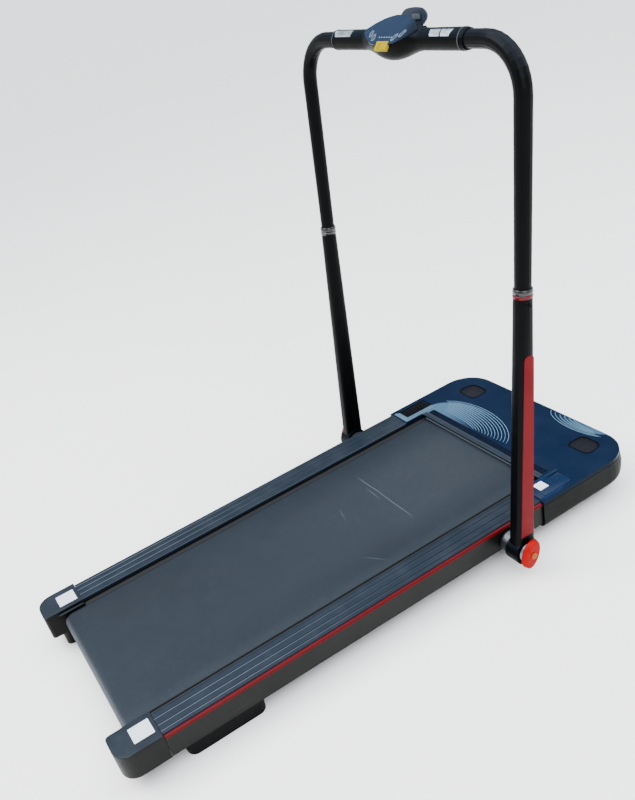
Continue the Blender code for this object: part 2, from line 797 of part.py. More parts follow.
def make_knob(word, side):
    """A thick oval knob that narrows towards its face, on a round neck, with a blind bore for the stud."""
    neck, back = KNOB_X
    steps = 40
    rings = []
    for x, long, wide in (
        (neck, KNOB_NECK_RADIUS, KNOB_NECK_RADIUS),
        (back, KNOB_NECK_RADIUS, KNOB_NECK_RADIUS),
        (back, 0.0315, 0.0203),
        (back + 0.0012, 0.0327, 0.0215),
        (back + 0.0055, 0.0325, 0.0206),
        (back + 0.0095, 0.0315, 0.0182),
        (back + 0.0115, 0.0300, 0.0158),
        (back + 0.0123, 0.0280, 0.0135),
    ):
        ring = []
        for i in range(steps):
            angle = 2 * math.pi * i / steps
            along, across = long * math.cos(angle), wide * math.sin(angle)
            y = along * math.sin(KNOB_TILT) + across * math.cos(KNOB_TILT)
            z = along * math.cos(KNOB_TILT) - across * math.sin(KNOB_TILT)
            ring.append((x * side, y, z))
        rings.append(ring)
    knob = loft(f"lock_knob_{word}", rings, "knob_red", (0, PIVOT_Y, PIVOT_Z))
    bore_at = (side * (STUD_END + GAP - 0.01), PIVOT_Y, PIVOT_Z)
    bore = cylinder(f"knob_bore_{word}", bore_at, 0.0064, 0.020, "X", segments=FINE)
    boolean(knob, bore)


def post_section(t, inset=0.0):
    """The post's cross-section: deep at the hub, turning gradually into a round at the top."""
    share = t / POST_TOP_T
    half_x = 0.0150 + 0.0016 * share - inset
    half_y = 0.0235 - 0.0068 * share - inset
    corner = 0.0090 + 0.0072 * share - inset
    return [(x, y, t) for x, y in rectangle(half_x, half_y, corner, 4)]


def make_posts(rail):
    for word, side in SIDES:
        at = (side * POST_X, 0, 0)
        post = loft(
            f"lower_post_{word}",
            [post_section(0.0), post_section(POST_TOP_T)],
            "tube_black",
            at,
            parent=rail,
        )
        hub_middle = side * (HUB_X[0] + HUB_X[1]) / 2
        length = HUB_X[1] - HUB_X[0]
        hub = cylinder(f"hub_{word}", (hub_middle, 0, 0), HUB_RADIUS, length, "X", parent=rail)
        boolean(post, hub, "UNION")
        lid = [(x, y, POST_TOP_T + 0.02) for x, y, _ in post_section(POST_TOP_T, 0.0018)]
        hollow = loft(
            f"post_hollow_{word}",
            [post_section(0.045, 0.0018), post_section(POST_TOP_T, 0.0018), lid],
            at=at,
            parent=rail,
        )
        boolean(post, hollow)
        bore = cylinder(
            f"hub_bore_{word}", (hub_middle, 0, 0), 0.0065, 0.05, "X", segments=FINE, parent=rail
        )
        boolean(post, bore)

        collar_height = COLLAR_TOP_T - POST_TOP_T - GAP
        loops = [
            list(arc((0, 0), COLLAR_RADIUS, 0, 345, 23)),
            list(arc((0, 0), TUBE_RADIUS + GAP, 0, 345, 23)),
        ]
        middle = (at[0], 0, POST_TOP_T + GAP + collar_height / 2)
        plate(f"collar_{word}", loops, collar_height, middle, "XY", "tube_black", parent=rail)


def handlebar_path():
    """Up from the left collar, across, and down to the right one, in the posts' own plane."""
    start = POST_TOP_T + GAP
    right = [(POST_X, 0, start), (POST_X, 0, CROSSBAR_T - BEND_RADIUS)]
    bend = arc((POST_X - BEND_RADIUS, CROSSBAR_T - BEND_RADIUS), BEND_RADIUS, 0, 90, 10)
    right += [(x, 0, z) for x, z in list(bend)[1:]]
    left = [(-x, y, z) for x, y, z in right]
    return left + right[::-1]


def make_handlebar(rail):
    tube("handlebar", handlebar_path(), TUBE_RADIUS, "tube_black", 0.0018, rail)
    for word, side in SIDES:
        x0, x1 = GRIP_X
        bore = TUBE_RADIUS + GAP
        profile = [
            (0.0165, x1),
            (GRIP_RADIUS, x1 - 0.008),
            (GRIP_RADIUS, x0),
            (bore, x0),
            (bore, x1),
        ]
        at = (0, 0, CROSSBAR_T)
        turned(f"grip_{word}", profile, at, "X", "grip_plastic", 24, rail, side)


# ---------------------------------------------------------------- console
def console_section(x, points=40):
    """Across the console: a flat top for the panel and a bowl below, narrowing to the grips' round."""
    share = math.cos(math.pi / 2 * min(1, abs(x) / 0.084)) ** 2
    half = GRIP_RADIUS + 0.0170 * share
    depth = GRIP_RADIUS + 0.0145 * share
    ring = []
    for i in range(points):
        angle = 2 * math.pi * i / points
        y, z = half * math.cos(angle), math.sin(angle)
        z = min(z * (half + 0.02 * share), 0.0190) if z > 0 else z * depth
        ring.append((x, y, z))
    return ring


def pill(width, length, tilt, steps=6):
    straight = (length - width) / 2
    outline = list(arc((0, straight), width / 2, 0, 180, steps))
    outline += list(arc((0, -straight), width / 2, 180, 360, steps))
    cos, sin = math.cos(math.radians(tilt)), math.sin(math.radians(tilt))
    return [(x * cos - y * sin, x * sin + y * cos) for x, y in outline]


def panel_outline():
    """A lens of two arcs."""
    bulge = (PANEL_HALF_LENGTH**2 + PANEL_HALF_HEIGHT**2) / (2 * PANEL_HALF_HEIGHT)
    sweep = math.degrees(math.asin(PANEL_HALF_LENGTH / bulge))
    drop = bulge - PANEL_HALF_HEIGHT
    upper = list(arc((0, -drop), bulge, 90 - sweep, 90 + sweep, 16))
    lower = list(arc((0, drop), bulge, 270 - sweep, 270 + sweep, 16))
    return upper + lower[1:-1]


def make_console(rail):
    console = empty("console_frame", (0, 0, CROSSBAR_T), (CONSOLE_TILT, 0, 0), rail)
    half_stations = (8, 16, 24, 32, 40, 48, 56, 63, 69, 74, 78, 82, 86)
    stations = [x / 1000 for x in (*(-x for x in reversed(half_stations)), 0, *half_stations)]
    housing = loft(
        "console_housing", [console_section(x) for x in stations], "grip_plastic", parent=console
    )
    lug_y, lug_z = holder_axis()
    for word, side in SIDES:
        xs = sorted((side * 0.0262, side * 0.0322))
        lug = box(
            f"holder_lug_{word}",
            (xs[0], 0.022, lug_z - 0.003),
            (xs[1], lug_y + 0.003, lug_z + 0.003),
            parent=console,
        )
        boolean(housing, lug, "UNION")
    bar_hole = cylinder("bar_hole", (0, 0, 0), TUBE_RADIUS + GAP, 0.2, "X", parent=console)
    boolean(housing, bar_hole)
    thickness = PANEL_FRONT - PANEL_BACK
    panel = plate(
        "console_panel",
        [panel_outline()],
        thickness,
        (0, 0, (PANEL_BACK + PANEL_FRONT) / 2),
        "XY",
        "console_gloss",
        parent=console,
    )
    key_height = 0.0018
    for name, (x, y, tilt) in KEYS.items():
        hole = plate(
            f"{name}_hole",
            [pill(KEY_SIZE[0] + 2 * GAP, KEY_SIZE[1] + 2 * GAP, tilt)],
            0.01,
            (x, y, PANEL_FRONT),
            parent=console,
        )
        boolean(panel, hole)
        plate(
            name,
            [pill(*KEY_SIZE, tilt)],
            key_height,
            (x, y, PANEL_FRONT + 0.0003 - key_height / 2),
            "XY",
            "key_grey",
            parent=console,
        )
    make_safety_key(console, housing, panel)
    make_phone_holder(console)


def make_safety_key(console, housing, panel):
    """The yellow key, in its own seat across the panel's lower edge."""
    seat_frame = empty("safety_key_frame", SAFETY_KEY_AT, (SAFETY_KEY_TILT, 0, 0), console)
    size = Vector(SAFETY_KEY_SIZE) / 2
    box("safety_key", -size, size, "safety_yellow", 0.0012, parent=seat_frame)
    room = Vector((GAP, GAP, 0))
    low, high = -size - room, size + room
    seat = box("safety_key_seat", low - Vector((0, 0, GAP)), high + Vector((0, 0, 0.01)), parent=seat_frame)
    boolean(housing, seat)
    boolean(panel, seat)


def holder_axis():
    """The phone holder's hinge line in the console's own frame, behind the panel's rear edge."""
    return 0.0385, -0.0160


def make_phone_holder(console):
    """A rounded tab that stands up behind the panel, with a hinge barrel along its foot."""
    y, z = holder_axis()
    lean = math.radians(-36)
    hinge = empty("phone_holder_hinge", (0, y, z), (lean, 0, 0), console)
    foot = [(-0.0240, 0), (0.0240, 0), (0.0240, 0.0055)]
    ear = []
    for i in range(21):
        angle = math.pi * i / 20
        lift = 0.0270 if angle < math.pi / 2 else 0.0235 + 0.0035 * math.sin(angle)
        bulge = 1 + 0.09 * math.sin(2 * angle) ** 2
        rise = lift * bulge * math.sin(angle) ** 0.8
        tuck = 0.0125 * max(0, 1 - rise / 0.018) ** 2
        ear.append(((0.038 * bulge - tuck) * math.cos(angle) + 0.0018, 0.0063 + rise))
    outline = foot + ear + [(-0.0240, 0.0055)]
    tab = plate("phone_holder", [outline], 0.0028, (0, 0, 0), "XZ", "flap_smoke", parent=hinge)
    barrel = cylinder("holder_barrel", (0, 0, 0), 0.003, 0.0516, "X", segments=FINE, parent=hinge)
    boolean(tab, barrel, "UNION")


def main():
    make_frame()
    make_belt()
    make_drive()
    make_rails()
    make_hood()
    make_feet()
    make_hubs()
    rail = empty("handrail_pivot", (0, PIVOT_Y, PIVOT_Z), (-LEAN, 0, 0))
    make_posts(rail)
    make_handlebar(rail)
    make_console(rail)


main()
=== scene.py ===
"""A folding walking pad with a U-shaped handrail: finishes, trim and small fittings over the frame."""

import json
import math

import bmesh
import bpy
from mathutils import Matrix, Vector


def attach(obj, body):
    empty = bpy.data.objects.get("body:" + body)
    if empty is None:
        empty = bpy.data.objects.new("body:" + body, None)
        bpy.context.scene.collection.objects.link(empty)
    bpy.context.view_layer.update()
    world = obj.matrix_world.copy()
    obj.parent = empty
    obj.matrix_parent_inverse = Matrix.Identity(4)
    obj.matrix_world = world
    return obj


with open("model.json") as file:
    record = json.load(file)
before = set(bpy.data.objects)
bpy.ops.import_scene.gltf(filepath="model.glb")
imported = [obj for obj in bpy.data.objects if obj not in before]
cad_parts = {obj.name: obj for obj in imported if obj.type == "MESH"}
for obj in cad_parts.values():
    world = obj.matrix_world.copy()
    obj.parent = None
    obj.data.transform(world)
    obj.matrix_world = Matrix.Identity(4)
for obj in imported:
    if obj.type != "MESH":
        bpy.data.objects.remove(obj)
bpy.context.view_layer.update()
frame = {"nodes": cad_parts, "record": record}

# ---------------------------------------------------------------- places, in metres, as the frame has them
PIVOT = Vector((0, 0.2604, 0.0614))
LEAN = math.radians(4.77)
POST_X = 0.3050
POST_TOP_T = 0.5400
POST_FACE = (0.0150, 0.0016)  # the post's outer face from its middle at the pivot, and its gain to the top
POST_DEPTH = (0.0235, 0.0068)  # half the post's depth at the pivot, and its loss to the top
INLAY_T = (0.041, 0.440)  # where the red inlay starts and ends on the post
INLAY_INSET = 0.0072  # from the post's edge to the inlay's
INLAY_CROWN = 0.008  # the height of the inlay's rounded end
TUBE_RADIUS = 0.0147
CROSSBAR_T = 0.9455  # along the leaning posts, from the pivot
COLLAR_T = (0.5403, 0.5615)
COLLAR_RADIUS = 0.0166
BOLT_AT = (0.0166, 0.5345)  # outwards from the post's middle, and along the post
GRIP_RADIUS = 0.0175
TOP_Z = 0.1003  # just over the rails, caps and hood
STEP_Z = 0.0988  # the floor of the steps at the hood's rear corners
PAN_Z = 0.0412  # just under the belly pan
DISPLAY_EDGE_Y = 0.4452
SPEAKER_AT = (0.186, 0.567)
WHEEL_AT = (0.219, 0.575, 0.023)
KNOB_FACE_X = 0.3388  # just off the lock knob's outer face
PANEL_Z = 0.0215  # the console panel's face, in the console's own frame
CONSOLE_TILT = math.radians(32) + LEAN
KEYS = {
    "mode": (-0.0445, -0.0085, 25),
    "start": (-0.0300, -0.0165, 25),
    "faster": (0.0300, -0.0165, -25),
    "slower": (0.0445, -0.0085, -25),
}

RAIL = Matrix.Translation(PIVOT) @ Matrix.Rotation(-LEAN, 4, "X")
CONSOLE = RAIL @ Matrix.Translation((0, 0, CROSSBAR_T)) @ Matrix.Rotation(CONSOLE_TILT, 4, "X")
HOLDER = CONSOLE @ Matrix.Translation((0, 0.0385, -0.0160)) @ Matrix.Rotation(math.radians(-36), 4, "X")
KEY_SEAT = Matrix.Translation((0.005, -0.0310, 0.0170))
SAFETY_KEY = CONSOLE @ KEY_SEAT @ Matrix.Rotation(math.radians(18), 4, "X")
HERE = Matrix.Identity(4)
FRONTWARDS = Matrix(((-1, 0, 0, 0), (0, 0, 1, 0), (0, 1, 0, 0), (0, 0, 0, 1)))  # a piece's own Z becomes +Y
FRONT_WALL = Matrix.Translation((0, 0.6373, 0.0610)) @ FRONTWARDS
INLET_X = -0.1010
ROCKER_X = -0.0600
BREAKER_X = -0.0300
ROCKER = Matrix.Translation((ROCKER_X, 0.6360, 0.0610)) @ Matrix.Rotation(math.radians(-7), 4, "X")
DOWNWARDS = Matrix.Rotation(math.pi, 4, "Y")  # a piece's own Z becomes the world's -Z
SIDES = (("left", -1), ("right", 1))


# ---------------------------------------------------------------- finishes
class Finish:
    """A material whose colour, roughness and relief are worked out from the piece's own coordinates."""

    def __init__(self, name, colour, roughness, metallic=0.0, coat=0.0, specular=0.25):
        self.material = bpy.data.materials.new(name)
        self.material.use_nodes = True
        self.tree = self.material.node_tree
        self.shader = self.tree.nodes["Principled BSDF"]
        self.shader.inputs["Metallic"].default_value = metallic
        self.shader.inputs["Coat Weight"].default_value = coat
        self.shader.inputs["Coat Roughness"].default_value = 0.06
        self.shader.inputs["Specular IOR Level"].default_value = specular
        self.base = colour
        self.colour = None
        self.roughness = roughness
        self.relief = None
        coordinates = self.tree.nodes.new("ShaderNodeTexCoord")
        self.place = coordinates.outputs["Object"]
        self.normal = coordinates.outputs["Normal"]
        split = self.tree.nodes.new("ShaderNodeSeparateXYZ")
        self.link(self.place, split.inputs[0])
        self.x, self.y, self.z = split.outputs

    def link(self, value, socket):
        """Joins a socket, or sets a number or a colour."""
        if isinstance(value, bpy.types.NodeSocket):
            self.tree.links.new(value, socket)
        elif isinstance(value, (tuple, list)) and len(value) == 3 and socket.type == "RGBA":
            socket.default_value = (*value, 1)
        else:
            socket.default_value = value

    def math(self, operation, a, b=0.0, c=None):
        """A sum, product or other maths step on numbers or sockets."""
        made = self.tree.nodes.new("ShaderNodeMath")
        made.operation = operation
        self.link(a, made.inputs[0])
        self.link(b, made.inputs[1])
        if c is not None:
            self.link(c, made.inputs[2])
        return made.outputs[0]

    def times(self, a, b):
        return self.math("MULTIPLY", a, b)

    def remap(self, value, start, end, low=0.0, high=1.0, smooth=False):
        """Takes the range start..end to low..high and holds it there at both ends."""
        made = self.tree.nodes.new("ShaderNodeMapRange")
        made.interpolation_type = "SMOOTHSTEP" if smooth else "LINEAR"
        for socket, number in zip(made.inputs, (value, start, end, low, high)):
            self.link(number, socket)
        return made.outputs[0]

    def stretched(self, scale):
        """The piece's coordinates with each axis scaled."""
        made = self.tree.nodes.new("ShaderNodeVectorMath")
        made.operation = "MULTIPLY"
        self.link(self.place, made.inputs[0])
        made.inputs[1].default_value = scale
        return made.outputs[0]

    def noise(self, scale, detail, stretch=None):
        made = self.tree.nodes.new("ShaderNodeTexNoise")
        made.inputs["Scale"].default_value = scale
        made.inputs["Detail"].default_value = detail
        self.link(self.stretched(stretch) if stretch else self.place, made.inputs["Vector"])
        return made.outputs[0]

    def facing(self, axis):
        """How squarely a face looks along X, Y or Z of the piece's own frame."""
        split = self.tree.nodes.new("ShaderNodeSeparateXYZ")
        self.link(self.normal, split.inputs[0])
        return split.outputs["XYZ".index(axis)]

    def mix(self, share, a, b):
        """Colour a where the share is 0, and colour b where it is 1."""
        made = self.tree.nodes.new("ShaderNodeMix")
        made.data_type = "RGBA"
        self.link(share, made.inputs[0])
        self.link(a, made.inputs[6])
        self.link(b, made.inputs[7])
        return made.outputs[2]

    def current(self):
        return self.colour or self.base

    def mottle(self, amount, scale, detail=4.0, stretch=None):
        """Slow uneven colour."""
        share = self.remap(self.noise(scale, detail, stretch), 0.3, 0.7)
        dark, light = [tuple(c * k for c in self.base) for k in (1 - amount, 1 + amount)]
        self.colour = self.mix(share, dark, light)
        return self

    def tint(self, share, colour):
        """Lays another colour over what there is."""
        self.colour = self.mix(share, self.current(), colour)
        return self

    def dust(self, amount, colour, scale):
        """A thin uneven bloom on what faces up."""
        up = self.remap(self.facing("Z"), 0.55, 0.95)
        patchy = self.remap(self.noise(scale, 6.0), 0.42, 0.75, 0.0, amount)
        return self.tint(self.times(up, patchy), colour)

    def scuffs(self, amount, scale, stretch=(1, 0.08, 1)):
        """Fine lengthwise scratches that are paler and duller."""
        lines = self.remap(self.noise(scale, 2.0, stretch), 0.66, 0.74, 0.0, amount)
        pale = tuple(min(1.0, c * 1.9 + 0.006) for c in self.base)
        return self.tint(lines, pale)

    def uneven(self, spread, scale=30.0):
        """Roughness that wanders about its mean."""
        low, high = max(0.02, self.roughness - spread), self.roughness + spread
        self.roughness = self.remap(self.noise(scale, 4.0), 0.3, 0.7, low, high)
        return self

    def bump(self, height, distance, strength):
        made = self.tree.nodes.new("ShaderNodeBump")
        made.inputs["Distance"].default_value = distance
        made.inputs["Strength"].default_value = strength
        self.link(height, made.inputs["Height"])
        if self.relief:
            self.link(self.relief, made.inputs["Normal"])
        self.relief = made.outputs[0]
        return self

    def grain(self, scale, distance, strength=0.6):
        """The fine leathery texture of a moulded plastic."""
        return self.bump(self.noise(scale, 2.0), distance, strength)

    def done(self):
        self.link(self.current(), self.shader.inputs["Base Color"])
        self.link(self.roughness, self.shader.inputs["Roughness"])
        if self.relief:
            self.link(self.relief, self.shader.inputs["Normal"])
        return self.material


def belt_rubber():
    """A walking belt: a fine diamond grain, a paler worn middle and a few long creases, with painted shade
    near black at its edges beside the rails and a painted highlight where it rolls round the rear roller.
    """
    it = Finish("belt_rubber_woven", (0.0098, 0.0150, 0.0222), 0.50, specular=0.12)
    it.mottle(0.10, 5.0, 5.0)
    aside = it.math("ABSOLUTE", it.x)
    worn = it.remap(aside, 0.06, 0.17, 1.0, 0.0, smooth=True)
    ahead = it.remap(it.y, -0.45, 0.42, 0.0, 1.0, smooth=True)
    it.tint(it.times(it.times(worn, ahead), 0.45), (0.0270, 0.0330, 0.0420))
    it.tint(it.remap(it.noise(120.0, 8.0), 0.58, 0.80, 0.0, 0.22), (0.040, 0.047, 0.058))
    for slope, offset, low, high, share in (
        (0.00, 0.1450, -0.126, 0.100, 0.70),
        (-0.05, 0.1305, -0.072, -0.003, 0.55),
        (-0.30, 0.0310, -0.056, 0.004, 0.45),
        (-0.10, 0.0530, -0.008, 0.030, 0.35),
        (0.69, -0.0930, 0.112, 0.176, 0.45),
    ):
        bend = it.times(it.noise(11.0, 1.0), 0.006)
        line = it.math("ADD", it.math("MULTIPLY_ADD", it.x, slope, offset), bend)
        off = it.math("ABSOLUTE", it.math("SUBTRACT", it.y, line))
        near = it.remap(off, 0.0002, 0.0017, 1.0, 0.0)
        starts, ends = it.remap(it.x, low, low + 0.03), it.remap(it.x, high - 0.03, high, 1.0, 0.0)
        inside = it.times(starts, ends)
        it.tint(it.times(it.times(near, inside), share), (0.085, 0.100, 0.120))
    it.tint(it.remap(it.x, 0.150, 0.180, 0.0, 0.35, smooth=True), (0.022, 0.030, 0.038))
    # Painted shade: the belt goes near black at its edges, in the gap beside each rail.
    it.tint(it.remap(aside, 0.1835, 0.1850), (0.0004, 0.0005, 0.0008))
    pitch = 2 * math.pi / 0.0018
    along = it.math("SINE", it.times(it.math("ADD", it.x, it.y), pitch))
    across = it.math("SINE", it.times(it.math("SUBTRACT", it.x, it.y), pitch))
    weave = it.times(along, across)
    it.tint(it.remap(weave, -1.0, 1.0, 0.25, 0.0), (0.0020, 0.0030, 0.0045))
    # Painted highlight: a paler tint where the belt faces backwards as it rolls round the rear roller.
    bend_highlight = it.remap(it.facing("Y"), -0.50, -0.85, 0.0, 0.8, smooth=True)
    it.tint(bend_highlight, (0.050, 0.056, 0.068))
    it.uneven(0.07, 14.0)
    it.bump(weave, 0.00016, 0.7)
    return it.grain(900.0, 0.00008, 0.5).done()


def rail_plastic():
    """Extruded side rail: satin top with painted highlights on the arrises along its grooves and on its inner
    edge, painted shade in its grooves, and painted shade in warmer black down its wall.
    """
    it = Finish("rail_plastic_ribbed", (0.0068, 0.0115, 0.0195), 0.40, specular=0.12)
    it.mottle(0.10, 4.0, 5.0, (1, 0.4, 1))
    across = it.math("ABSOLUTE", it.x)
    top = it.remap(it.z, 0.0975, 0.0985)
    # Painted highlights: pale lines on the arrises beside each groove, fading towards the front.
    highlight_fading = it.remap(it.y, -0.45, 0.10, 1.0, 0.12, smooth=True)
    for x in (0.2160, 0.2335, 0.2487):
        gap = it.math("ABSOLUTE", it.math("SUBTRACT", across, x + 0.0016))
        pale = it.times(it.remap(gap, 0.0003, 0.0010, 0.9, 0.0), highlight_fading)
        it.tint(it.times(pale, top), (0.080, 0.105, 0.135))
        # Painted shade: a dark line down each groove.
        gap = it.math("ABSOLUTE", it.math("SUBTRACT", across, x))
        dark = it.remap(gap, 0.0006, 0.0012, 0.85, 0.0)
        it.tint(it.times(dark, top), (0.0012, 0.0018, 0.0030))
    # Painted shade: the wall below the top goes a warmer black.
    it.tint(it.remap(it.z, 0.0965, 0.0900, 0.0, 1.0), (0.0016, 0.0016, 0.0012))
    # Painted highlight: the rounded inner edge of the top is paler.
    inner = it.remap(across, 0.2022, 0.2012, 0.0, 0.75)
    it.tint(it.times(inner, top), (0.030, 0.042, 0.058))
    it.scuffs(0.10, 90.0)
    it.uneven(0.06, 20.0)
    return it.dust(0.12, (0.05, 0.065, 0.085), 22.0).grain(1100.0, 0.0001, 0.45).done()


def hood_gloss():
    """High-gloss navy lid with a pale wash under its two sets of printed arcs, a bluer right corner and
    painted shade darkening its rounded rim.
    """
    it = Finish("hood_gloss_navy", (0.0009, 0.0058, 0.0200), 0.22, coat=0.03, specular=0.12)
    it.mottle(0.14, 3.0, 4.0)
    share = it.remap(it.x, -0.190, -0.035, 0.90, 0.0, smooth=True)
    inside = ellipse_mask(it, (-0.080, 0.448), (0.139, 0.077))
    it.tint(it.times(share, inside), (0.045, 0.094, 0.152))
    share = it.remap(it.x, 0.05, 0.17, 0.04, 0.80, smooth=True)
    inside = ellipse_mask(it, (0.112, 0.638), (0.086, 0.034))
    it.tint(it.times(share, inside), (0.040, 0.086, 0.140))
    across = it.times(it.remap(it.x, 0.196, 0.212), it.remap(it.x, 0.262, 0.246))
    along = it.times(it.remap(it.y, 0.364, 0.375), it.remap(it.y, 0.438, 0.420))
    patch = it.times(across, along)
    it.tint(it.times(patch, 0.65), (0.004, 0.034, 0.120))
    it.tint(it.remap(it.noise(900.0, 1.0), 0.70, 0.78, 0.0, 0.2), (0.04, 0.06, 0.09))
    # Painted shade: the lid's rounded rim is tinted darker, and its specular and coat are turned down there.
    rim = it.remap(it.facing("Z"), 0.985, 0.90, 0.0, 1.0, smooth=True)
    it.tint(rim, (0.0012, 0.0048, 0.0120))
    it.link(it.remap(rim, 0.0, 1.0, 0.12, 0.03), it.shader.inputs["Specular IOR Level"])
    it.link(it.remap(rim, 0.0, 1.0, 0.03, 0.0), it.shader.inputs["Coat Weight"])
    it.uneven(0.05, 24.0)
    return it.dust(0.06, (0.02, 0.04, 0.07), 9.0).grain(260.0, 0.00003, 0.35).done()


def ellipse_mask(it, centre, half):
    """1 inside an ellipse on the lid, with a soft rim."""
    across = it.math("DIVIDE", it.math("SUBTRACT", it.x, centre[0]), half[0])
    along = it.math("DIVIDE", it.math("SUBTRACT", it.y, centre[1]), half[1])
    reach = it.math("ADD", it.times(across, across), it.times(along, along))
    return it.remap(reach, 1.0, 0.93)


def speaker_mesh():
    """Perforated grille: staggered dark holes."""
    it = Finish("speaker_mesh_holes", (0.0062, 0.0070, 0.0120), 0.5, metallic=0.2, specular=0.08)
    it.mottle(0.15, 30.0)
    pitch = 2 * math.pi / 0.0022
    along = it.math("SINE", it.times(it.math("ADD", it.x, it.y), pitch))
    across = it.math("SINE", it.times(it.math("SUBTRACT", it.x, it.y), pitch))
    wave = it.times(along, across)
    it.tint(it.remap(wave, 0.1, 0.5), (0.0018, 0.0018, 0.0024))
    return it.bump(wave, -0.0004, 0.8).done()


def deck_wood():
    """Dense board edge-on, with a black laminate on top."""
    it = Finish("deck_wood_board", (0.36, 0.25, 0.15), 0.65)
    it.mottle(0.25, 60.0, 6.0, (1, 0.2, 4))
    it.tint(it.remap(it.z, 0.0868, 0.0874), (0.008, 0.009, 0.011))
    return it.uneven(0.08).grain(500.0, 0.0001).done()


def steel(name, colour, roughness, stretch=(1, 30, 30)):
    """Turned bright steel with fine rings."""
    it = Finish(name, colour, roughness, metallic=1.0)
    it.mottle(0.08, 40.0, 3.0, stretch)
    it.uneven(0.08, 60.0)
    return it.bump(it.noise(300.0, 2.0, (12, 1, 1)), 0.00003, 0.4).done()


def finned_metal():
    """A bright cast heat sink, brushed along its fins."""
    it = Finish("board_metal_fins", (0.42, 0.43, 0.45), 0.38, metallic=0.9)
    it.mottle(0.10, 25.0, 4.0, (1, 6, 1))
    return it.uneven(0.08, 50.0).bump(it.noise(200.0, 2.0, (1, 0.05, 8)), 0.00006, 0.5).done()


def motor_metal():
    """A dark plated can with small worn spots."""
    it = Finish("motor_metal_can", (0.085, 0.087, 0.095), 0.42, metallic=0.8)
    it.mottle(0.15, 18.0)
    it.tint(it.remap(it.noise(140.0, 6.0), 0.62, 0.75, 0.0, 0.4), (0.22, 0.21, 0.20))
    return it.uneven(0.1, 25.0).bump(it.noise(120.0, 2.0, (10, 1, 1)), 0.00008, 0.5).done()


def drive_rubber():
    """A drive belt with fine ribs round it."""
    it = Finish("drive_rubber_ribbed", (0.016, 0.016, 0.017), 0.6)
    it.mottle(0.2, 60.0)
    ribs = it.math("SINE", it.times(it.x, 2 * math.pi / 0.0024))
    return it.bump(ribs, 0.0004, 0.8).done()


def sky_reflecting_plastic(name, colour, sky_tint):
    """A satin black plastic with a painted sky reflection: a shade bluer where it faces up."""
    it = Finish(name, colour, 0.38, specular=0.03)
    it.mottle(0.12, 14.0)
    # Painted sky reflection: faces turned up are tinted bluer.
    it.tint(it.remap(it.facing("Z"), 0.05, 0.85, 0.0, 1.0, smooth=True), sky_tint)
    it.scuffs(0.08, 110.0, (0.3, 1, 1))
    return it.uneven(0.06, 35.0).grain(1000.0, 0.0001, 0.5).done()


def powder_coat():
    """Satin black tube with the faint orange peel of powder paint, and a painted sky reflection that tints
    its upper side bluer.
    """
    it = Finish("tube_black_powder", (0.0006, 0.0008, 0.0011), 0.38, specular=0.05)
    it.mottle(0.15, 12.0)
    # Painted sky reflection: faces turned up are tinted bluer.
    it.tint(it.remap(it.facing("Z"), 0.20, 0.90, 0.0, 1.0, smooth=True), (0.0028, 0.0048, 0.0085))
    it.scuffs(0.12, 70.0, (1, 1, 0.07))
    it.uneven(0.06, 40.0)
    return it.bump(it.noise(420.0, 2.0), 0.00006, 0.5).done()


def console_face():
    """Glossy smoked slate panel, a little darker where its display sits."""
    it = Finish("console_gloss_panel", (0.0105, 0.0200, 0.0410), 0.26, specular=0.05)
    it.mottle(0.08, 20.0)
    it.tint(it.remap(it.x, 0.030, 0.064, 0.0, 0.8, smooth=True), (0.0035, 0.0055, 0.0085))
    it.uneven(0.03, 60.0)
    it.tint(it.remap(it.noise(700.0, 1.0), 0.66, 0.74, 0.0, 0.06), (0.05, 0.06, 0.08))
    return it.grain(300.0, 0.00002, 0.3).done()


def knob_red():
    """Satin red plastic with moulding swirls."""
    it = Finish("knob_red_satin", (0.24, 0.0, 0.0), 0.42, specular=0.06)
    it.mottle(0.12, 60.0)
    it.scuffs(0.15, 200.0, (1, 1, 0.2))
    return it.uneven(0.07, 80.0).grain(900.0, 0.00006, 0.4).done()


def label_paper():
    """A blank rating label: off-white film with a few faint grey bars."""
    it = Finish("label_paper_blank", (0.56, 0.61, 0.67), 0.45)
    it.mottle(0.05, 90.0)
    bars = it.math("SINE", it.times(it.y, 2 * math.pi / 0.0042))
    patches = it.remap(it.noise(160.0, 1.0), 0.52, 0.56)
    it.tint(it.times(it.remap(bars, 0.55, 0.75, 0.0, 0.35), patches), (0.42, 0.46, 0.52))
    return it.uneven(0.05, 100.0).grain(900.0, 0.00003, 0.3).done()


def moulded(name, colour, roughness, dust=0.12, specular=0.14):
    """An ordinary injection-moulded plastic."""
    it = Finish(name, colour, roughness, specular=specular)
    it.mottle(0.12, 14.0)
    it.scuffs(0.08, 110.0, (1, 0.3, 1))
    it.uneven(0.06, 35.0)
    it.dust(dust, tuple(min(1, c * 1.6 + 0.012) for c in colour), 26.0)
    return it.grain(1000.0, 0.0001, 0.5).done()


def rubber(name, colour):
    """Matt rubber with a dusty bloom."""
    it = Finish(name, colour, 0.75, specular=0.1)
    it.mottle(0.2, 30.0)
    it.uneven(0.08, 60.0)
    it.tint(it.remap(it.noise(60.0, 8.0), 0.60, 0.80, 0.0, 0.25), (0.012, 0.012, 0.012))
    return it.grain(700.0, 0.00018, 0.7).done()


def gloss(name, colour, roughness, coat=0.1, specular=0.14):
    """A smooth plastic, ink or lacquer, from satin to shiny."""
    it = Finish(name, colour, roughness, coat=coat, specular=specular)
    it.mottle(0.08, 22.0)
    it.uneven(0.05, 70.0)
    it.scuffs(0.06, 160.0, (1, 0.3, 1))
    return it.grain(420.0, 0.00003, 0.35).done()


